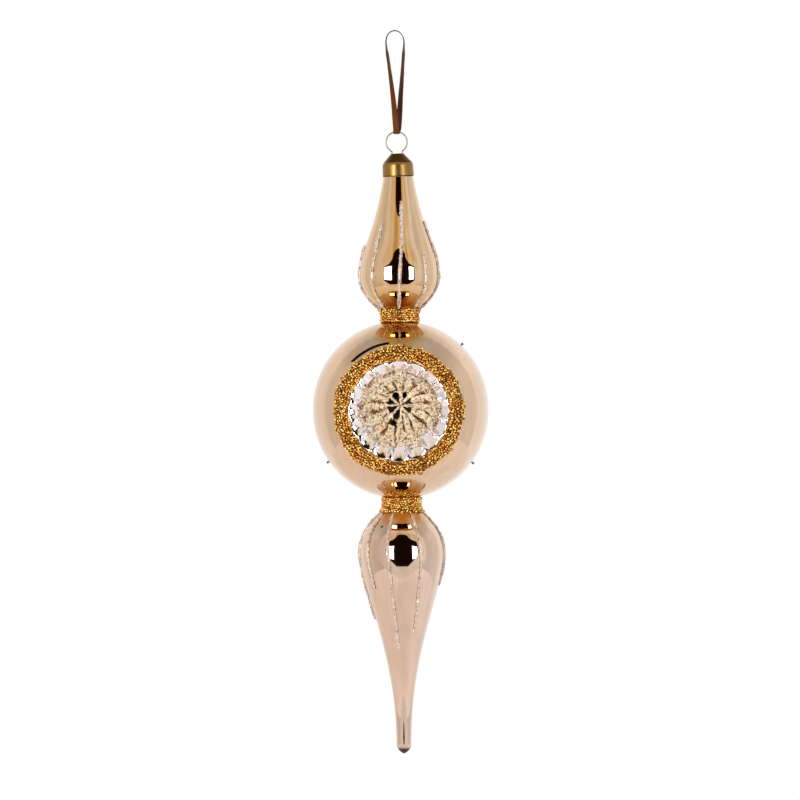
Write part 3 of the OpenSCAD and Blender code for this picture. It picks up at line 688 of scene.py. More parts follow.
def champagne_glass(c):
    """Blown glass, silvered inside and lacquered: a warm mirror under a clear glossy skin, a little wavy."""
    material, tree = new_material("champagne_glass")
    place = node(tree, "ShaderNodeTexCoord").outputs["Object"]
    height = node(tree, "ShaderNodeSeparateXYZ", {0: place}).outputs["Z"]
    level = node(tree, "ShaderNodeMapRange", {0: height, 1: GLASS_LOW[2], 2: GLASS_HIGH[2]})
    lacquer = node(
        tree, "ShaderNodeValToRGB", {0: level.outputs[0]},
        stops=[
            (0.3, c.lacquer_drop[:]), (0.42, c.lacquer_ball[:]),
            (0.62, c.lacquer_ball[:]), (0.72, c.lacquer_top[:]),
        ],
    )
    # Painted reflection of the gold beads round each end of the two collars, as amber and golden colour in the
    # glass, deepest on the ball under the upper one and in front of it, and widest on the bulbs. A row holds
    # how far in front of the axis and how high over the ball's centre the painted reflection is centred, its
    # colour, and the distances up to which it is full and at which it ends
    glass, trim = settings().glass, settings().trim
    centre, z = ball_centre(glass), levels(glass)
    painted_reflections = (
        (0, z.upper_root + trim.upper_collar_h, c.painted_bead_reflection_pale, 0.01, 0.024),
        (0, z.upper_root + trim.upper_collar_h, c.painted_bead_reflection, 0.0092, 0.0125),
        (0, z.upper_root, c.painted_bead_reflection_pale, 0.011, 0.015),
        (0.02, z.upper_root - 5 * MM, c.painted_bead_reflection_pale, 0.008, 0.013),
        (0, z.upper_root, c.painted_bead_reflection, 0.0094, 0.0114),
        (0.013, z.upper_root - 2 * MM, c.painted_bead_reflection, 0.004, 0.009),
        (0, z.lower_root - trim.lower_collar_h, c.painted_bead_reflection_pale, 0.01, 0.016),
        (0, z.lower_root, c.painted_bead_reflection_pale, 0.01, 0.014),
        (0.018, z.lower_root + 4 * MM, c.painted_bead_reflection_pale, 0.004, 0.012),
    )
    # A film of glue dulls the glass within about 10 mm of each end of a collar, so only where ahead is 0
    glossy, dull, film_full, film_end = 0.045, 0.25, 0.0095, 0.0115
    with_painted_reflections, roughness = lacquer.outputs[0], glossy
    for ahead, up, tone, full, end in painted_reflections:
        spot = tuple(centre + [0, -ahead, up])
        away = node(tree, "ShaderNodeVectorMath", {0: place, 1: spot}, operation="DISTANCE").outputs["Value"]
        painted_reflection = node(tree, "ShaderNodeMapRange", {0: away, 1: full, 2: end, 3: 0.95, 4: 0})
        film = node(
            tree, "ShaderNodeMapRange", {0: away, 1: film_full, 2: film_end, 3: 0 if ahead else 1, 4: 0},
        )
        with_painted_reflections = node(
            tree, "ShaderNodeMix", {"Factor": painted_reflection.outputs[0], "A": with_painted_reflections, "B": tone[:]}, data_type="RGBA",
        ).outputs["Result"]
        roughness = node(
            tree, "ShaderNodeMix", {"Factor": film.outputs[0], "A": roughness, "B": dull},
        ).outputs["Result"]
    # The sealed pip at the tip, 3 mm high, where the silvering fails and the glass looks dark
    pip = node(
        tree, "ShaderNodeMapRange",
        {0: height, 1: GLASS_LOW[2] + 0.0022, 2: GLASS_LOW[2] + 0.0034, 3: 1, 4: 0},
    )
    sealed = node(
        tree, "ShaderNodeMix", {"Factor": pip.outputs[0], "A": with_painted_reflections, "B": c.pip[:]}, data_type="RGBA",
    )
    # Streaks of thicker lacquer, 3 mm wide and 80 mm long, as it ran down the glass
    stretched = node(tree, "ShaderNodeMapping", {"Vector": place, "Scale": (1 / 0.003, 1 / 0.003, 1 / 0.08)})
    streaks = node(tree, "ShaderNodeTexNoise", {"Vector": stretched.outputs[0], "Scale": 1, "Detail": 2})
    streak = node(tree, "ShaderNodeMapRange", {0: streaks.outputs[0], 1: 0.3, 2: 0.7, 3: 0.93, 4: 1.05})
    tinted = node(
        tree, "ShaderNodeVectorMath", {0: sealed.outputs["Result"], 1: streak.outputs[0]},
        operation="MULTIPLY",
    )
    # Waves of the blown wall, about 16 mm long
    waves = node(tree, "ShaderNodeTexNoise", {"Vector": place, "Scale": 1 / 0.016, "Detail": 1})
    wavy = node(tree, "ShaderNodeBump", {"Strength": 0.5, "Distance": 0.0002, "Height": waves.outputs[0]})
    surface(tree, {
        "Base Color": tinted.outputs[0], "Metallic": 1, "Roughness": roughness, "Normal": wavy.outputs[0],
        "Coat Weight": 1, "Coat Roughness": 0.02,
    })
    return material


def bare_silver(c):
    """Silvered glass without lacquer: a cold white mirror, stained amber by the glue between the star's spokes,
    with painted shade there.

    The stain starts at the cup's edge, is darkest there, where it is painted shade in the gaps between the
    spokes, paler on the sloping floor, and ends at the wall.
    """
    material, tree = new_material("bare_silver_glass")
    place = node(tree, "ShaderNodeTexCoord").outputs["Object"]
    middle = ball_centre(settings().glass)
    flat = node(
        tree, "ShaderNodeMapping",
        {"Vector": place, "Location": (-middle[0], 0, -middle[2]), "Scale": (1, 0, 1)},
    )
    away = node(tree, "ShaderNodeVectorMath", {0: flat.outputs[0]}, operation="LENGTH")
    out = node(tree, "ShaderNodeMapRange", {0: away.outputs["Value"], 1: 0.005, 2: 0.018})
    # Painted shade: the darkest amber, in the gaps beside the cup's edge; the paler amber further out is the
    # glue's stain
    stained_and_shaded = node(
        tree, "ShaderNodeValToRGB", {0: out.outputs[0]},
        stops=[
            (0.02, c.silver[:]), (0.08, c.stain_and_shade[:]), (0.22, c.stain_and_shade[:]),
            (0.4, c.pale_glue_stain[:]), (0.6, c.pale_glue_stain[:]), (0.8, c.silver[:]),
        ],
    )
    # Ripples of the pressed glass, about 1.5 mm long
    ripples = node(tree, "ShaderNodeTexNoise", {"Vector": place, "Scale": 1 / 0.0015, "Detail": 2})
    rippled = node(tree, "ShaderNodeBump", {"Strength": 0.4, "Distance": 0.0001, "Height": ripples.outputs[0]})
    surface(tree, {
        "Base Color": stained_and_shaded.outputs[0], "Metallic": 1, "Roughness": 0.1, "Normal": rippled.outputs[0],
    })
    return material


def gold_beads(c):
    """Gold-lined glass beads: each bead its own shade of gold, with a hard small highlight."""
    material, tree = new_material("gold_lined_beads")
    tint = node(tree, "ShaderNodeAttribute", attribute_name="tint").outputs["Fac"]
    gold = node(
        tree, "ShaderNodeValToRGB", {0: tint},
        stops=[(0, c.bead_dark[:]), (0.4, c.bead[:]), (0.95, c.bead_light[:])],
    )
    surface(tree, {
        "Base Color": gold.outputs[0], "Metallic": 0.9, "Roughness": 0.22,
        "Coat Weight": 0.5, "Coat Roughness": 0.05,
    })
    return material


def glue_bed(c):
    """Dried glue between the beads: dark amber with a soft gloss."""
    material, tree = new_material("amber_glue")
    place = node(tree, "ShaderNodeTexCoord").outputs["Object"]
    lumps = node(tree, "ShaderNodeTexNoise", {"Vector": place, "Scale": 1 / 0.001, "Detail": 2})
    lumpy = node(tree, "ShaderNodeBump", {"Strength": 0.6, "Distance": 0.0002, "Height": lumps.outputs[0]})
    surface(tree, {"Base Color": c.glue[:], "Metallic": 0.3, "Roughness": 0.35, "Normal": lumpy.outputs[0]})
    return material


def cut_glitter(name, shades, metallic, patchy):
    """Cut-film glitter in clear glue: each grain a flat facet of its own pale shade, in patches 1.2 mm wide."""
    material, tree = new_material(name)
    tint = node(tree, "ShaderNodeAttribute", attribute_name="tint").outputs["Fac"]
    place = node(tree, "ShaderNodeTexCoord").outputs["Object"]
    patches = node(tree, "ShaderNodeTexNoise", {"Vector": place, "Scale": 1 / 0.0012, "Detail": 2})
    patch = node(tree, "ShaderNodeMapRange", {0: patches.outputs[0], 1: 0.35, 2: 0.65, 3: -patchy, 4: patchy})
    shade = node(tree, "ShaderNodeMath", {0: tint, 1: patch.outputs[0]}, operation="ADD")
    pale = node(
        tree, "ShaderNodeValToRGB", {0: shade.outputs[0]},
        stops=[(0, shades[0][:]), (0.35, shades[1][:]), (0.75, shades[2][:])],
    )
    surface(tree, {"Base Color": pale.outputs[0], "Metallic": metallic, "Roughness": 0.2})
    return material


def antique_brass(c, hanger):
    """Stamped and antiqued brass: satin round the spun skirt, darker on the cone where the patina stays."""
    material, tree = new_material("antique_brass")
    place = node(tree, "ShaderNodeTexCoord").outputs["Object"]
    low, high = (corner_point[2] for corner_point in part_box("cap"))
    height = node(tree, "ShaderNodeSeparateXYZ", {0: place}).outputs["Z"]
    level = node(tree, "ShaderNodeMapRange", {0: height, 1: low, 2: high})
    edge = hanger.skirt_h / hanger.cap_h
    patina = node(
        tree, "ShaderNodeValToRGB", {0: level.outputs[0]},
        stops=[(0, c.brass_dark[:]), (0.06, c.brass[:]), (edge, c.brass[:]), (edge + 0.06, c.brass_dark[:])],
    )
    # Fine turning marks, 0.25 mm apart, drawn as wide as they need to show
    marks = node(tree, "ShaderNodeMapping", {"Vector": place, "Scale": (60, 60, 1 / 0.00025)})
    turned_marks = node(tree, "ShaderNodeTexNoise", {"Vector": marks.outputs[0], "Scale": 1, "Detail": 1})
    grooved = node(
        tree, "ShaderNodeBump", {"Strength": 0.03, "Distance": 0.00003, "Height": turned_marks.outputs[0]},
    )
    # Blotches of wear, about 2 mm wide
    wear = node(tree, "ShaderNodeTexNoise", {"Vector": place, "Scale": 1 / 0.002, "Detail": 3})
    rough = node(tree, "ShaderNodeMapRange", {0: wear.outputs[0], 1: 0.3, 2: 0.7, 3: 0.3, 4: 0.35})
    surface(tree, {
        "Base Color": patina.outputs[0], "Metallic": 1, "Roughness": rough.outputs[0],
        "Normal": grooved.outputs[0],
    })
    return material


def bright_wire(c):
    """Drawn steel wire: bright, with faint drawing marks in its roughness."""
    material, tree = new_material("bright_wire")
    place = node(tree, "ShaderNodeTexCoord").outputs["Object"]
    marks = node(tree, "ShaderNodeTexNoise", {"Vector": place, "Scale": 1 / 0.0004, "Detail": 2})
    rough = node(tree, "ShaderNodeMapRange", {0: marks.outputs[0], 1: 0.3, 2: 0.7, 3: 0.3, 4: 0.42})
    surface(tree, {"Base Color": c.wire[:], "Metallic": 1, "Roughness": rough.outputs[0]})
    return material


def brown_satin(c, ribbon_l):
    """Satin ribbon, golden brown, with painted shade near the top of the loop and down the right strand."""
    material, tree = new_material("brown_satin")
    place = node(tree, "ShaderNodeUVMap", uv_map="cloth").outputs[0]
    # Warp threads run along the ribbon, 0.2 mm apart, and weft threads across it, 0.35 mm apart
    warp_place = node(tree, "ShaderNodeMapping", {"Vector": place, "Scale": (1 / 0.0002, 1 / 0.004, 1)})
    warp = node(tree, "ShaderNodeTexNoise", {"Vector": warp_place.outputs[0], "Scale": 1, "Detail": 1})
    weft_place = node(tree, "ShaderNodeMapping", {"Vector": place, "Scale": (1, 1 / 0.00035, 1)})
    weft = node(
        tree, "ShaderNodeTexWave", {"Vector": weft_place.outputs[0], "Scale": 0.3, "Distortion": 0.6},
        bands_direction="Y",
    )
    threads = node(tree, "ShaderNodeMath", {0: warp.outputs[0], 1: weft.outputs["Fac"]}, operation="MULTIPLY")
    along = node(tree, "ShaderNodeSeparateXYZ", {0: place}).outputs["Y"]
    share_along = node(tree, "ShaderNodeMapRange", {0: along, 1: 0, 2: ribbon_l})
    # Painted shade along the ribbon: golden brown up the left strand, darker over the top and darkest down the
    # right
    faces = node(
        tree, "ShaderNodeValToRGB", {0: share_along.outputs[0]},
        stops=[(0.3, c.ribbon[:]), (0.52, c.ribbon_top_shade[:]), (0.68, c.ribbon_top_shade[:]), (0.86, c.ribbon_shade[:])],
    )
    gaps = node(
        tree, "ShaderNodeValToRGB", {0: threads.outputs[0]},
        stops=[(0.1, linear("989898")), (0.45, linear("FFFFFF"))],
    )
    shade = node(tree, "ShaderNodeVectorMath", {0: faces.outputs[0], 1: gaps.outputs[0]}, operation="MULTIPLY")
    woven = node(tree, "ShaderNodeBump", {"Strength": 0.4, "Distance": 0.00005, "Height": threads.outputs[0]})
    surface(tree, {
        "Base Color": shade.outputs[0], "Roughness": 0.4, "Normal": woven.outputs[0],
        "Specular IOR Level": 0.12,
    })
    return material


def dark_bead(c):
    """Smoked glass bead: dark and glossy, a little cloudy inside."""
    material, tree = new_material("smoked_bead")
    place = node(tree, "ShaderNodeTexCoord").outputs["Object"]
    cloud = node(tree, "ShaderNodeTexNoise", {"Vector": place, "Scale": 1 / 0.0005})
    rough = node(tree, "ShaderNodeMapRange", {0: cloud.outputs[0], 3: 0.1, 4: 0.3})
    surface(tree, {
        "Base Color": c.side_bead[:], "Metallic": 0.4, "Roughness": rough.outputs[0], "Coat Weight": 1,
    })
    return material


def settings():
    """All the sizes and colours, as they stand in the scene."""
    return SimpleNamespace(**{name.replace("finial_", ""): getattr(bpy.context.scene, name) for name in GROUPS})


class FINIAL_OT_stage(bpy.types.Operator):
    """Set the camera, the light tent and the floor"""

    bl_idname = "finial.stage"
    bl_label = "Camera, light and floor"

    def execute(self, context):
        s = settings()
        st = s.stage
        centre = Vector(ball_centre(s.glass))
        self.camera(context, st, centre)
        self.floor(st)
        self.world(context)
        self.tent(st, centre)
        context.scene.view_settings.view_transform = "Standard"
        return {"FINISHED"}

    def camera(self, context, st, centre):
        """A long lens, level with the ball, rolled until the object leans as in the picture."""
        right = Vector((math.cos(st.lean), 0, -math.sin(st.lean)))
        up = Vector((math.sin(st.lean), 0, math.cos(st.lean)))
        shift_right = (st.ball_px_x - st.picture_w / 2) * st.pixel
        shift_down = (st.ball_px_y - st.picture_w / 2) * st.pixel
        data = bpy.data.cameras.new("camera")
        data.sensor_width = 36
        data.lens = data.sensor_width * st.camera_distance / (st.picture_w * st.pixel)
        data.clip_end = 20
        made = bpy.data.objects.new("camera", data)
        context.scene.collection.objects.link(made)
        place = centre - right * shift_right + up * shift_down - Vector((0, st.camera_distance, 0))
        turned_axes = Matrix((right, up, (0, -1, 0))).transposed().to_4x4()
        made.matrix_world = Matrix.Translation(place) @ turned_axes
        context.scene.camera = made

    def floor(self, st):
        """A round floor under the tip, white to the camera and warmer in the glass, which keeps the shadow."""
        material, tree = new_material("floor")
        paint = node(tree, "ShaderNodeBsdfDiffuse", {"Color": linear("F2F2F2")})
        path = node(tree, "ShaderNodeLightPath").outputs
        seen = node(
            tree, "ShaderNodeMath", {0: path["Is Camera Ray"], 1: path["Is Glossy Ray"]}, operation="MAXIMUM",
        )
        lift = node(tree, "ShaderNodeMath", {0: seen.outputs[0], 1: 0.3}, operation="MULTIPLY")
        place = node(tree, "ShaderNodeTexCoord").outputs["Object"]
        spot = node(tree, "ShaderNodeSeparateXYZ", {0: place}).outputs
        across = node(tree, "ShaderNodeMapRange", {0: spot["X"], 1: -st.floor_r, 2: st.floor_r})
        warm = node(
            tree, "ShaderNodeValToRGB", {0: across.outputs[0]},
            stops=[(0.2, linear("D8B898")), (0.8, linear("EFE6E0"))],
        )
        # Its part in front of the object mirrors in gold
        ahead = node(tree, "ShaderNodeMapRange", {0: spot["Y"], 1: -0.3, 2: -0.16, 3: 0.8, 4: 0})
        golden = node(
            tree, "ShaderNodeMix", {"Factor": ahead.outputs[0], "A": warm.outputs[0], "B": linear("C08A48")},
            data_type="RGBA",
        )
        shown = node(
            tree, "ShaderNodeMix",
            {"Factor": path["Is Camera Ray"], "A": golden.outputs["Result"], "B": linear("FFFFFF")},
            data_type="RGBA",
        )
        glow = node(
            tree, "ShaderNodeEmission", {"Color": shown.outputs["Result"], "Strength": lift.outputs[0]},
        )
        both = node(tree, "ShaderNodeAddShader", {0: paint.outputs[0], 1: glow.outputs[0]})
        node(tree, "ShaderNodeOutputMaterial", {"Surface": both.outputs[0]})
        sides = 96
        angle = np.linspace(0, 2 * np.pi, sides, endpoint=False)
        height = GLASS_LOW[2] - st.floor_drop
        rim = np.stack([st.floor_r * np.cos(angle), st.floor_r * np.sin(angle), height + 0 * angle], -1)
        self.sheet("floor", rim, [list(range(sides))], material)

    def sheet(self, name, points, faces, material):
        """A flat part of the stage, out of the camera's sight unless it is the floor."""
        mesh = bpy.data.meshes.new(name)
        mesh.from_pydata(np.asarray(points).tolist(), [], faces)
        mesh.materials.append(material)
        made = bpy.data.objects.new(name, mesh)
        bpy.context.scene.collection.objects.link(made)
        made.visible_camera = name == "floor"
        return made

    def world(self, context):
        """White to the camera, and to all else the cloth of a light tent, brighter behind the object."""
        world = bpy.data.worlds.new("tent")
        context.scene.world = world
        world.use_nodes = True
        tree = world.node_tree
        tree.nodes.clear()
        way = node(tree, "ShaderNodeTexCoord").outputs["Generated"]
        split = node(tree, "ShaderNodeSeparateXYZ", {0: way})
        behind = node(tree, "ShaderNodeMapRange", {0: split.outputs["Y"], 1: -1, 2: 1})
        cloth = node(
            tree, "ShaderNodeValToRGB", {0: behind.outputs[0]},
            stops=[
                (0.47, linear("DBD6D2")), (0.5, linear("E6E2DE")),
                (0.73, linear("E6E0DA")), (0.75, linear("FAF4F0")),
            ],
        )
        above = node(tree, "ShaderNodeMapRange", {0: split.outputs["Z"], 1: 0.5, 2: 0.8, 3: 1, 4: 0.68})
        sides = node(tree, "ShaderNodeMapRange", {0: split.outputs["X"], 1: -1, 2: 1})
        warmth = node(
            tree, "ShaderNodeValToRGB", {0: sides.outputs[0]},
            stops=[(0, linear("F7F2EC")), (0.4, linear("FAF6F2")), (0.7, linear("FFFFFF"))],
        )
        sided = node(
            tree, "ShaderNodeVectorMath", {0: cloth.outputs[0], 1: warmth.outputs[0]}, operation="MULTIPLY",
        )
        shaded = node(
            tree, "ShaderNodeVectorMath", {0: sided.outputs[0], 1: above.outputs[0]}, operation="MULTIPLY",
        )
        seen = node(tree, "ShaderNodeLightPath").outputs["Is Camera Ray"]
        white = node(
            tree, "ShaderNodeMix", {"Factor": seen, "A": shaded.outputs[0], "B": linear("FFFFFF")},
            data_type="RGBA",
        )
        light = node(tree, "ShaderNodeBackground", {"Color": white.outputs["Result"], "Strength": 1})
        node(tree, "ShaderNodeOutputWorld", {"Surface": light.outputs[0]})

    def tent(self, st, centre):
        """The tent's open front, the dark room and rod that the glass mirrors, and a softbox on each side."""
        cloth = self.tent_cloth(centre)
        dark, tree = new_material("dark_room")
        black = node(tree, "ShaderNodeBsdfDiffuse", {"Color": linear("1C0E08")})
        node(tree, "ShaderNodeOutputMaterial", {"Surface": black.outputs[0]})
        hole = np.array(OPENING + tuple((-x, up) for x, up in OPENING[-2:0:-1]))
        count = len(hole)
        reach = hole / np.linalg.norm(hole, axis=1, keepdims=True) * st.tent_w
        reach[:, 1] = np.maximum(reach[:, 1], GLASS_LOW[2] - st.floor_drop - centre.z)
        flat = np.vstack([hole, reach])
        points = np.stack([centre.x + flat[:, 0], 0 * flat[:, 0] - st.tent_y, centre.z + flat[:, 1]], -1)
        faces = [[k, (k + 1) % count, count + (k + 1) % count, count + k] for k in range(count)]
        self.sheet("tent_front", points, faces, cloth).visible_shadow = False
        # The back wall of the room is 3 m wide and 3 m high
        wall = np.array([(-1.5, -0.9), (1.5, -0.9), (1.5, 2.1), (-1.5, 2.1)])
        points = np.stack([wall[:, 0], 0 * wall[:, 0] - st.room_y, centre.z + wall[:, 1]], -1)
        self.sheet("dark_room", points, [[0, 1, 2, 3]], dark)
        # The rod hangs overhead and to the left, and the glass shows it as a thin dark arc
        rod = np.array(ROD)
        points = np.stack([centre.x + rod[:, 0], rod[:, 1], 0 * rod[:, 0] + centre.z + ROD_HEIGHT], -1)
        self.sheet("rod", points, [[0, 1, 2, 3]], dark).visible_shadow = False
        for name, x, wide in LAMPS:
            data = bpy.data.lights.new(name, "AREA")
            data.shape = "RECTANGLE"
            data.size, data.size_y = wide, st.lamp_h
            data.energy = LAMP_POWER * wide * st.lamp_h
            lamp = bpy.data.objects.new(name, data)
            bpy.context.scene.collection.objects.link(lamp)
            lamp.visible_camera = False
            lamp.location = (centre.x + x, -st.lamp_y, centre.z + LAMP_RISE)
            lamp.rotation_euler = (math.radians(90), 0, 0)

    def tent_cloth(self, centre):
        """The cloth of the tent's front: pale, a little warmer to the left, and golden over the opening."""
        cloth, tree = new_material("tent_cloth")
        place = node(tree, "ShaderNodeTexCoord").outputs["Object"]
        split = node(tree, "ShaderNodeSeparateXYZ", {0: place}).outputs
        side = node(tree, "ShaderNodeMapRange", {0: split["X"], 1: -0.6, 2: 0.6})
        plain = node(
            tree, "ShaderNodeValToRGB", {0: side.outputs[0]},
            stops=[(0, linear("E2D8CE")), (1, linear("F0ECEA"))],
        )
        # The warm part over the opening, strongest in the middle, in soft upright folds 60 mm wide
        folds = node(tree, "ShaderNodeMapping", {"Vector": place, "Scale": (1 / 0.06, 1, 1)})
        fold = node(tree, "ShaderNodeTexNoise", {"Vector": folds.outputs[0], "Scale": 1, "Detail": 1})
        warm = node(
            tree, "ShaderNodeValToRGB", {0: fold.outputs[0]},
            stops=[(0.35, linear("C4A06A")), (0.65, linear("EAD4AC"))],
        )
        wide = node(tree, "ShaderNodeMath", {0: split["X"]}, operation="ABSOLUTE")
        near = node(tree, "ShaderNodeMapRange", {0: wide.outputs[0], 1: 0.15, 2: 0.5, 3: 1, 4: 0})
        height = node(tree, "ShaderNodeMapRange", {0: split["Z"], 1: centre.z, 2: centre.z + 0.6})
        high = node(
            tree, "ShaderNodeValToRGB", {0: height.outputs[0]},
            stops=[
                (0.15, linear("000000")), (0.4, linear("FFFFFF")),
                (0.55, linear("FFFFFF")), (0.7, linear("000000")),
            ],
        )
        warmth = node(tree, "ShaderNodeMath", {0: high.outputs[0], 1: near.outputs[0]}, operation="MULTIPLY")
        mixed = node(
            tree, "ShaderNodeMix", {"Factor": warmth.outputs[0], "A": plain.outputs[0], "B": warm.outputs[0]},
            data_type="RGBA",
        )
        # The foot of the cloth, which the underside of the upper bulb mirrors in gold
        foot = node(
            tree, "ShaderNodeMapRange",
            {0: split["Z"], 1: centre.z - 0.29, 2: centre.z - 0.25, 3: 0.8, 4: 0},
        )
        golden = node(
            tree, "ShaderNodeMix",
            {"Factor": foot.outputs[0], "A": mixed.outputs["Result"], "B": linear("C08A48")},
            data_type="RGBA",
        )
        glow = node(tree, "ShaderNodeEmission", {"Color": golden.outputs["Result"]})
        node(tree, "ShaderNodeOutputMaterial", {"Surface": glow.outputs[0]})
        return cloth


class FINIAL_OT_ribbon(bpy.types.Operator):
    """Loop the satin ribbon through the ring"""

    bl_idname = "finial.ribbon"
    bl_label = "Ribbon"

    def execute(self, context):
        s = settings()
        h = s.hanger
        route = np.array(RIBBON_ROUTE)
        fine = self.smooth_route(route)
        ahead = np.roll(fine, -1, 0) - np.roll(fine, 1, 0)
        along = ahead / np.linalg.norm(ahead, axis=1, keepdims=True)
        rise = np.clip(fine[:, 2] - h.ring_d / 2, 0, None)
        closing = np.clip((fine[:, 2] - h.bight_h) / (route[:, 2].max() - h.bight_h), 0, 1)
        # The strands turn over their height, and at the bight both lie square to the picture
        angle = h.ribbon_turn * np.minimum(1, rise / h.ribbon_turn_h) ** 0.6
        angle = angle + (math.pi / 2 - h.ribbon_turn) * np.sqrt(closing)
        wide = np.stack([np.cos(angle), np.sin(angle), 0 * angle], -1)
        thick = np.cross(along, wide)
        thick /= np.linalg.norm(thick, axis=1, keepdims=True)
        across = np.cross(thick, along)
        side = np.linspace(-1, 1, 9)
        half_t = 0.5 + 0.5 * (1 - side**8)
        edge = np.concatenate([np.stack([side, half_t], -1), np.stack([-side, -half_t], -1)])
        rings = (
            fine[:, None] + across[:, None] * edge[None, :, :1] * h.ribbon_w / 2
            + thick[:, None] * edge[None, :, 1:] * h.ribbon_t / 2
        )
        steps = np.linalg.norm(np.roll(route, -1, 0) - route, axis=1)
        satin = brown_satin(s.colours, steps.sum())
        ribbon = make_piece("satin_ribbon", solid(rings, closed=True), [satin], ["ribbon_loop"])
        self.unwrap(ribbon, fine, edge, h)
        return {"FINISHED"}

    def smooth_route(self, route, steps=6):
        """The closed route with cubic steps between its points, each drawn from its four nearest points."""
        a, b, c, d = (np.roll(route, k, 0)[:, None] for k in (1, 0, -1, -2))
        t = np.linspace(0, 1, steps, endpoint=False)[None, :, None]
        fine = b + 0.5 * t * (c - a + t * (2 * a - 5 * b + 4 * c - d + t * (3 * (b - c) + d - a)))
        return fine.reshape(-1, 3)

    def unwrap(self, ribbon, fine, edge, h):
        """Cloth coordinates in metres: across the ribbon from its edge, and along it from its start."""
        rows = len(edge)
        step = np.linalg.norm(np.roll(fine, -1, 0) - fine, axis=1)
        along = np.concatenate([[0], np.cumsum(step)[:-1]])
        mesh = ribbon.data
        corners = np.empty(len(mesh.loops), dtype=np.int32)
        mesh.loops.foreach_get("vertex_index", corners)
        across = edge[corners % rows, 0] * h.ribbon_w / 2
        layer = mesh.uv_layers.new(name="cloth")
        layer.data.foreach_set("uv", np.stack([across, along[corners // rows]], -1).ravel().astype(np.float32))


class FINIAL_OT_glass(bpy.types.Operator):
    """Blow the glass with its fluted reflector"""

    bl_idname = "finial.glass"
    bl_label = "Glass"

    def execute(self, context):
        s = settings()
        g, f = s.glass, s.reflector
        z = levels(g)
        ball = ball_with_reflector(g, f)
        drop = drop_outline(g)
        lip = z.seat + g.pipe_h
        pipe_r = g.pipe_d / 2
        inside = np.linspace(z.seat - 2 * MM, z.seat - g.chamber_depth, 20)
        side = bulb_outline(g)
        # The side, with a ring just under the seat that keeps its edge crisp, then the pipe and the chamber
        bulb = np.vstack([
            side[:-1], [side[-1] * 0.95 + side[-2] * 0.05], side[-1:],
            [[pipe_r, z.seat + g.seat_d / 2 - pipe_r], [pipe_r, lip - g.wall / 3]],
            [[pipe_r - g.wall / 3, lip], [pipe_r - g.wall, lip], [pipe_r - g.wall, z.seat]],
            np.stack([glass_radius(g, inside) - g.wall, inside], -1),
        ])
        parts = [solid(ball), solid(turned(drop)), solid(turned(bulb))]
        # Bare silver from the middle of the cup to the first ring past the rim, and lacquer on all the rest
        quads, cup_end, back_end = parts[0][1]
        in_rim = np.arange(len(quads)) < (FLOOR_RINGS + WALL_RINGS - 1) * ball.shape[1]
        finish = [in_rim, np.ones(len(cup_end)), np.zeros(len(back_end))]
        finish += [np.zeros(len(group)) for part in parts[1:] for group in part[1]]
        make_piece(
            "blown_glass", moved(joined(parts), ball_centre(g)),
            [champagne_glass(s.colours), bare_silver(s.colours)], ["glass_body"],
            finish=np.concatenate(finish),
        )
        return {"FINISHED"}


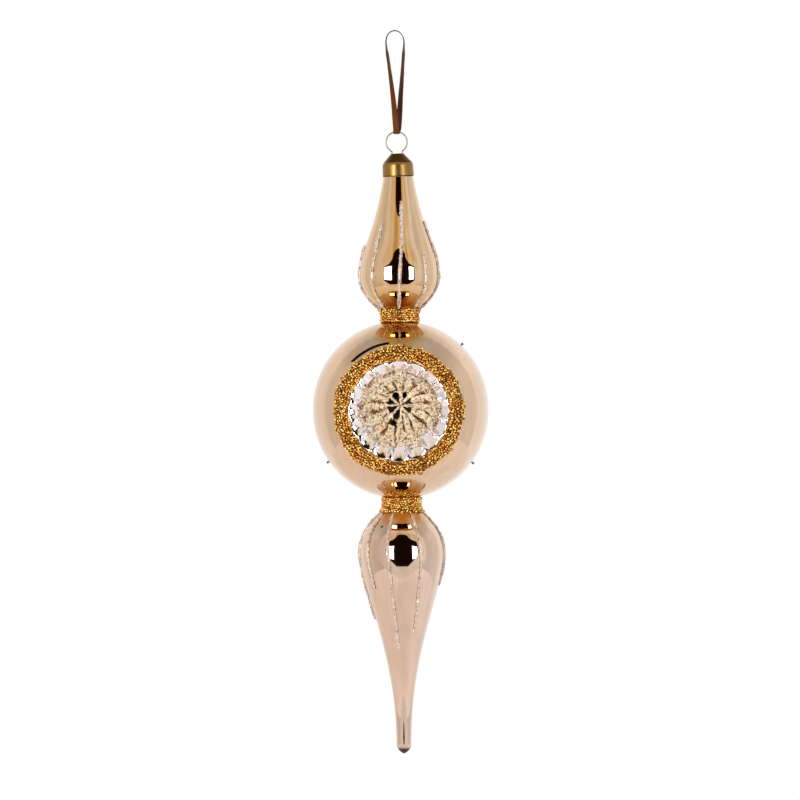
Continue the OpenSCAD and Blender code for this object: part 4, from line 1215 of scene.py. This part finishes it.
class FINIAL_OT_beads(bpy.types.Operator):
    """Glue the gold beads round the necks and the reflector"""

    bl_idname = "finial.beads"
    bl_label = "Beads"

    def execute(self, context):
        s = settings()
        g, f, trim = s.glass, s.reflector, s.trim
        z = levels(g)
        gold, glue = gold_beads(s.colours), glue_bed(s.colours)
        rng = np.random.default_rng(SEED)
        upper, lower = z.upper_root + trim.clearance, z.lower_root - trim.clearance
        for name, low, high, neck_d in (
            ("upper", upper, upper + trim.upper_collar_h, g.upper_neck_d),
            ("lower", lower - trim.lower_collar_h, lower, g.lower_neck_d),
        ):
            self.collar(name, g, trim, low, high, neck_d / 2, gold, glue, rng)
        self.band(g, f, trim, gold, glue, rng)
        self.side_beads(s, z)
        return {"FINISHED"}

    def scatter(self, name, places, bead_d, gold, node_name, rng):
        """One bead at each place, each of its own size, turn and shade of gold."""
        count = len(places)
        sizes = bead_d * rng.uniform(0.88, 1.06, count)
        shape = bead_shape()
        part = copies(shape, places, sizes, random_turns(rng, count))
        tint = np.repeat(rng.beta(1.1, 1.0, count), len(shape[0]))
        make_piece(name, part, [gold], [node_name], tint=tint)

    def collar(self, name, g, trim, low, high, neck_r, gold, glue, rng):
        """Beads on a neck: spread over a strip that is wrapped round it, each resting on the glass."""
        centre = ball_centre(g)
        bead_d = trim.collar_bead_d
        r = neck_r + bead_d / 2
        inset = bead_d / 2
        strip = packed(rng, np.array([2 * math.pi * r, high - low - 2 * inset]), bead_d * BEAD_PITCH)
        count = len(strip)
        height = low + inset + strip[:, 1] + rng.uniform(-0.2, 0.2, count) * MM
        angle = strip[:, 0] / r
        rest = np.maximum(glass_radius(g, height), neck_r) + bead_d * BEAD_SEAT
        rest = rest + trim.collar_bead_rise * rng.random(count) ** 2
        places = np.stack([rest * np.sin(angle), -rest * np.cos(angle), height], -1)
        node_name = f"{name}_bead_collar"
        self.scatter(f"{name}_collar_beads", places + centre, bead_d, gold, node_name, rng)
        level = np.linspace(low, high, 12)
        inner = glass_radius(g, level) + trim.clearance
        outer = np.maximum(inner + 0.1 * MM, neck_r + trim.bed_t)
        outline = np.vstack([np.stack([outer, level], -1), np.stack([inner, level], -1)[::-1]])
        bed = solid(turned(outline, 96).transpose(1, 0, 2), closed=True)
        make_piece(f"{node_name}_glue", moved(bed, centre), [glue])

    def band(self, g, f, trim, gold, glue, rng):
        """Beads on the ball round the reflector: one layer on the glass, and a looser one on top of it."""
        centre = ball_centre(g)
        inner_r = (f.rim_d + f.lobe) / 2 + trim.band_gap
        middle_r = inner_r + trim.band_w / 2
        pitch = trim.bead_d * BEAD_PITCH
        inset = trim.bead_d * 0.4
        size = np.array([2 * math.pi * middle_r, trim.band_w - 2 * inset])
        strip = packed(rng, size, pitch)
        low_out = trim.bead_d * BEAD_SEAT + trim.bead_rise * rng.random(len(strip)) ** 2
        loose = int(len(strip) * 0.4)
        top = spread(rng, loose, size - [0, 0.7 * MM], pitch * 1.1) + [0, 0.35 * MM]
        high_out = trim.bead_d * (1.15 + 0.15 * rng.random(loose))
        strip, out = np.vstack([strip, top]), np.concatenate([low_out, high_out])
        # Both edges of the band wander, each by a sum of waves round it
        angle = strip[:, 0] / middle_r
        wander = 0.3 * MM * np.sin(angle * 5 + 1) + 0.3 * MM * np.sin(angle * 11 + 3)
        wander = wander + 0.25 * MM * np.sin(angle * 23)
        overhang = 0.5 * MM + 0.3 * MM * np.sin(angle * 7 + 2) + 0.2 * MM * np.sin(angle * 17)
        share_out = strip[:, 1] / size[1]
        r = inner_r + inset + strip[:, 1] + wander * share_out - overhang * (1 - share_out)
        places = over_ball(g, f, r, angle, out) + centre
        self.scatter("reflector_band_beads", places, trim.bead_d, gold, "reflector_bead_band", rng)
        around = np.linspace(0, 2 * np.pi, 160, endpoint=False)[:, None]
        r = np.linspace(inner_r, inner_r + trim.band_w - 0.3 * MM, 10)[None]
        lift = trim.bed_t * np.minimum(1, 3 * np.sin(np.linspace(0.1, np.pi - 0.1, 10)))[None]
        front = over_ball(g, f, r + 0 * around, around + 0 * r, lift + 0 * around)
        back = over_ball(g, f, r[:, ::-1] + 0 * around, around + 0 * r, trim.clearance + 0 * around + 0 * r)
        bed = solid(np.concatenate([front, back], 1), closed=True)
        make_piece("reflector_band_glue", moved(bed, centre), [glue])

    def side_beads(self, s, z):
        """Three single beads on the outline of the ball."""
        g, trim = s.glass, s.trim
        angle = np.radians(SIDE_BEAD_ANGLES)
        out = z.ball_r + trim.side_bead_d / 2 + trim.clearance
        up = out * np.sin(angle) + z.half * np.sign(np.sin(angle))
        places = np.stack([out * np.cos(angle), 0 * angle, up], -1) + ball_centre(g)
        polar = np.linspace(0, np.pi, 17)[1:-1]
        shape = solid(turned(np.stack([np.sin(polar), -np.cos(polar)], -1) / 2, 24))
        count = len(places)
        part = copies(shape, places, np.full(count, trim.side_bead_d), np.tile(np.eye(3), (count, 1, 1)))
        make_piece("smoked_side_beads", part, [dark_bead(s.colours)], ["side_beads"])


class FINIAL_OT_glitter(bpy.types.Operator):
    """Draw the glitter lines and the star"""

    bl_idname = "finial.glitter"
    bl_label = "Glitter"

    def execute(self, context):
        s = settings()
        g, trim = s.glass, s.trim
        z = levels(g)
        c = s.colours
        pinkish = cut_glitter("champagne_glitter", (c.line_dark, c.line, c.line_light), 0.4, 0.22)
        rosy = cut_glitter("rosy_glitter", (c.line_dark, c.line_low, c.line_light), 0.4, 0.15)
        creamy = cut_glitter("cream_glitter", (c.star_dark, c.star, c.star_light), 0.1, 0.3)
        self.rng = np.random.default_rng(SEED + 1)
        low = z.upper_root + trim.upper_collar_h + 4 * trim.clearance
        for i, (collar_angle, end_angle, part) in enumerate(UPPER_LINES):
            ends = low, low + (z.seat - low) * part
            self.line(f"upper_line_{i + 1}", s, ends, (collar_angle, end_angle), 1, pinkish)
        high = z.lower_root - trim.lower_collar_h - 4 * trim.clearance
        for i, (collar_angle, end_angle, part) in enumerate(LOWER_LINES):
            ends = high - (high - z.tip) * part, high
            self.line(f"lower_line_{i + 1}", s, ends, (end_angle, collar_angle), trim.lower_line_share, rosy)
        self.star(s, creamy)
        return {"FINISHED"}

    def grains(self, places, grain_d, painted_shading):
        """A grain of glitter at each place, each of its own size, turn and shade, that shade scaled by the
        painted shading.
        """
        count = len(places)
        sizes = grain_d * self.rng.uniform(0.7, 1.25, count)
        shape = grain_shape()
        part = copies(shape, places, sizes, random_turns(self.rng, count))
        return part, np.repeat(self.rng.random(count) * painted_shading, len(shape[0]))

    def glittered(self, name, ridge, places, grain_d, node_name, paint, painted_shading=1):
        """One piece from the smooth ridge of glue, in one shade, and the flat-sided grains on it, shaded by any
        painted shading.
        """
        grains, tint = self.grains(places, grain_d, painted_shading)
        part = joined([ridge, grains])
        shades = np.concatenate([np.full(len(ridge[0]), 0.3), tint])
        smooth = np.zeros(sum(len(group) for group in part[1]), dtype=bool)
        smooth[: sum(len(group) for group in ridge[1])] = True
        make_piece(name, part, [paint], [node_name], smooth=smooth, tint=shades)

    def line(self, name, s, ends, angles, width_share, paint):
        """A raised line up the glass: a half-round ridge of glue that wanders a little, covered with grains."""
        g, trim = s.glass, s.trim
        centre = ball_centre(g)
        low, high = ends
        line_w = trim.line_w * width_share
        phase = self.rng.random(2) * 2 * math.pi

        def drawn(height):
            """Angle, wander sideways and swelling of the line at a height."""
            way = (height - low) / (high - low)
            angle = np.radians(angles[0] + (angles[1] - angles[0]) * way)
            wander = 0.2 * MM * np.sin(way * 9 + phase[0]) * np.sin(way * np.pi)
            swell = 0.9 + 0.12 * np.sin((height - low) / (2.1 * MM) + phase[1])
            swell = swell * np.clip(way * 12 + 0.6, 0, 1)
            return angle, wander, swell * np.clip((1 - way) * 12 + 0.6, 0, 1)

        height = np.linspace(low, high, int((high - low) / (0.8 * MM)))[:, None]
        bow = HALF_ROUND
        # The glue fills three quarters of the line's height and most of its width, and grains fill up the rest
        angle, wander, swell = drawn(height)
        core = on_glass(
            g, height + 0 * bow, angle, trim.clearance + 0.75 * trim.line_t * swell * np.cos(bow),
            wander + 0.4 * line_w * swell * np.sin(bow),
        )
        count = int((high - low) * line_w / trim.grain_d**2 * LINE_COVER)
        grain_height = low + (high - low) * self.rng.random(count)
        bow = np.radians(self.rng.uniform(-85, 85, count))
        angle, wander, swell = drawn(grain_height)
        over = self.rng.uniform(0.8, 1.06, count)
        grains = on_glass(
            g, grain_height, angle, trim.clearance + 0.85 * trim.line_t * swell * np.cos(bow) * over,
            wander + 0.48 * line_w * swell * np.sin(bow) * over,
        )
        ridge = solid(core + centre)
        piece_name = name.replace("line", "glitter_line")
        self.glittered(piece_name, ridge, grains + centre, trim.grain_d, name, paint)

    def star(self, s, paint):
        """Glitter in the reflector: crooked spokes from its centre, and short fingers between them."""
        g, f, trim = s.glass, s.reflector, s.trim
        centre = ball_centre(g)
        cup_r = f.cup_d / 2
        reach = f.floor_d / 2
        low = 2 * trim.clearance
        bow = HALF_ROUND
        ridges, places, painted_shading = [], [], []
        for k in range(f.flutes):
            angle = 2 * math.pi * k / f.flutes
            # Every other finger is a spoke that starts at the centre
            start = 0.2 * MM if k % 2 == 0 else STAR_STARTS[k // 2 % len(STAR_STARTS)] * MM
            end = reach * self.rng.uniform(0.93, 1.12)
            spoke_w = trim.spoke_w * self.rng.uniform(0.75, 1.35)
            crook = self.rng.uniform(-0.35, 0.35)
            phase = self.rng.random(3) * 2 * math.pi

            def over(r, side, out):
                """Points over a finger, at a radius and a share of its half width, which bends and swells."""
                past_cup = np.clip((r - cup_r) / cup_r, 0, 1)
                bend = trim.spoke_bend * np.sin(r / (2.4 * MM) + phase[0]) * past_cup / r
                swell = 1 + 0.32 * np.sin(r / (1.2 * MM) + phase[1]) * past_cup
                room = r * np.sin(np.where(r > cup_r, np.pi, 2 * np.pi) / f.flutes) * trim.spoke_fill
                half = np.where(r > cup_r * 0.93, room * swell, np.minimum(spoke_w / 2, room))
                way = angle + bend + crook * np.clip(1 - r / cup_r, 0, 1) + np.arctan2(half * side, r)
                return on_reflector(g, f, np.hypot(r, half * side), way, out)

            r = np.linspace(start, end, 24)[:, None]
            core = over(r + 0 * bow, np.sin(bow) * 0.9 + 0 * r, low + 0.55 * trim.star_t * np.cos(bow))
            ridges.append(solid(core))
            middle = (start + end) / 2
            area = (end - start) * 2 * middle * math.sin(math.pi / f.flutes) * trim.spoke_fill
            count = int(area / trim.flake_d**2 * STAR_COVER)
            r = np.sqrt(self.rng.uniform(start**2, (end + 0.4 * MM) ** 2, count))
            side = self.rng.uniform(-1.1, 1.1, count)
            # Lumps 6 mm long, on which grains stand higher and are painted lighter as if lit, and grains along
            # both edges painted darker as shade
            lumps = 0.5 + 0.5 * np.sin(r / (0.9 * MM) + phase[2]) * np.sin(side * 4 + phase[0])
            height = low + trim.star_t * (0.5 + 0.5 * lumps) * np.sqrt(1 - np.minimum(side**4, 0.75))
            places.append(over(r, side, height))
            painted_shading.append((1.3 - 1.1 * np.clip((np.abs(side) - 0.6) / 0.5, 0, 1)) * (0.95 + 0.5 * lumps))
        ridge = moved(joined(ridges), centre)
        self.glittered(
            "glitter_star", ridge, np.vstack(places) + centre, trim.flake_d, "reflector_star", paint,
            np.concatenate(painted_shading),
        )


class FINIAL_OT_hanger(bpy.types.Operator):
    """Give the cap and the wire their finishes"""

    bl_idname = "finial.hanger"
    bl_label = "Cap and wire"

    def execute(self, context):
        s = settings()
        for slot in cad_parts["cap"].material_slots:
            slot.material = antique_brass(s.colours, s.hanger)
        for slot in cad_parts["hanger_wire"].material_slots:
            slot.material = bright_wire(s.colours)
        return {"FINISHED"}


class FINIAL_PT_panel(bpy.types.Panel):
    """Sizes, colours and pieces of the finial"""

    bl_label = "Finial Ornament"
    bl_idname = "FINIAL_PT_panel"
    bl_space_type = "VIEW_3D"
    bl_region_type = "UI"
    bl_category = "Finial"

    def draw(self, context):
        for operator in OPERATORS:
            self.layout.operator(operator.bl_idname)
        for name, group in GROUPS.items():
            box = self.layout.box()
            box.label(text=group.__doc__)
            for key in group.__annotations__:
                box.prop(getattr(context.scene, name), key)


OPERATORS = (
    FINIAL_OT_stage, FINIAL_OT_ribbon, FINIAL_OT_glass, FINIAL_OT_beads, FINIAL_OT_glitter, FINIAL_OT_hanger,
)
CLASSES = (*GROUPS.values(), *OPERATORS, FINIAL_PT_panel)


def register():
    """Registers the classes and hangs the property groups on the scene."""
    for cls in CLASSES:
        bpy.utils.register_class(cls)
    for name, group in GROUPS.items():
        setattr(bpy.types.Scene, name, PointerProperty(type=group))


def unregister():
    """Takes back what register did."""
    for name in GROUPS:
        delattr(bpy.types.Scene, name)
    for cls in reversed(CLASSES):
        bpy.utils.unregister_class(cls)


def main():
    """Registers the classes and builds every piece in order."""
    register()
    for operator in OPERATORS:
        family, action = operator.bl_idname.split(".")
        getattr(getattr(bpy.ops, family), action)()


if __name__ == "__main__":
    main()
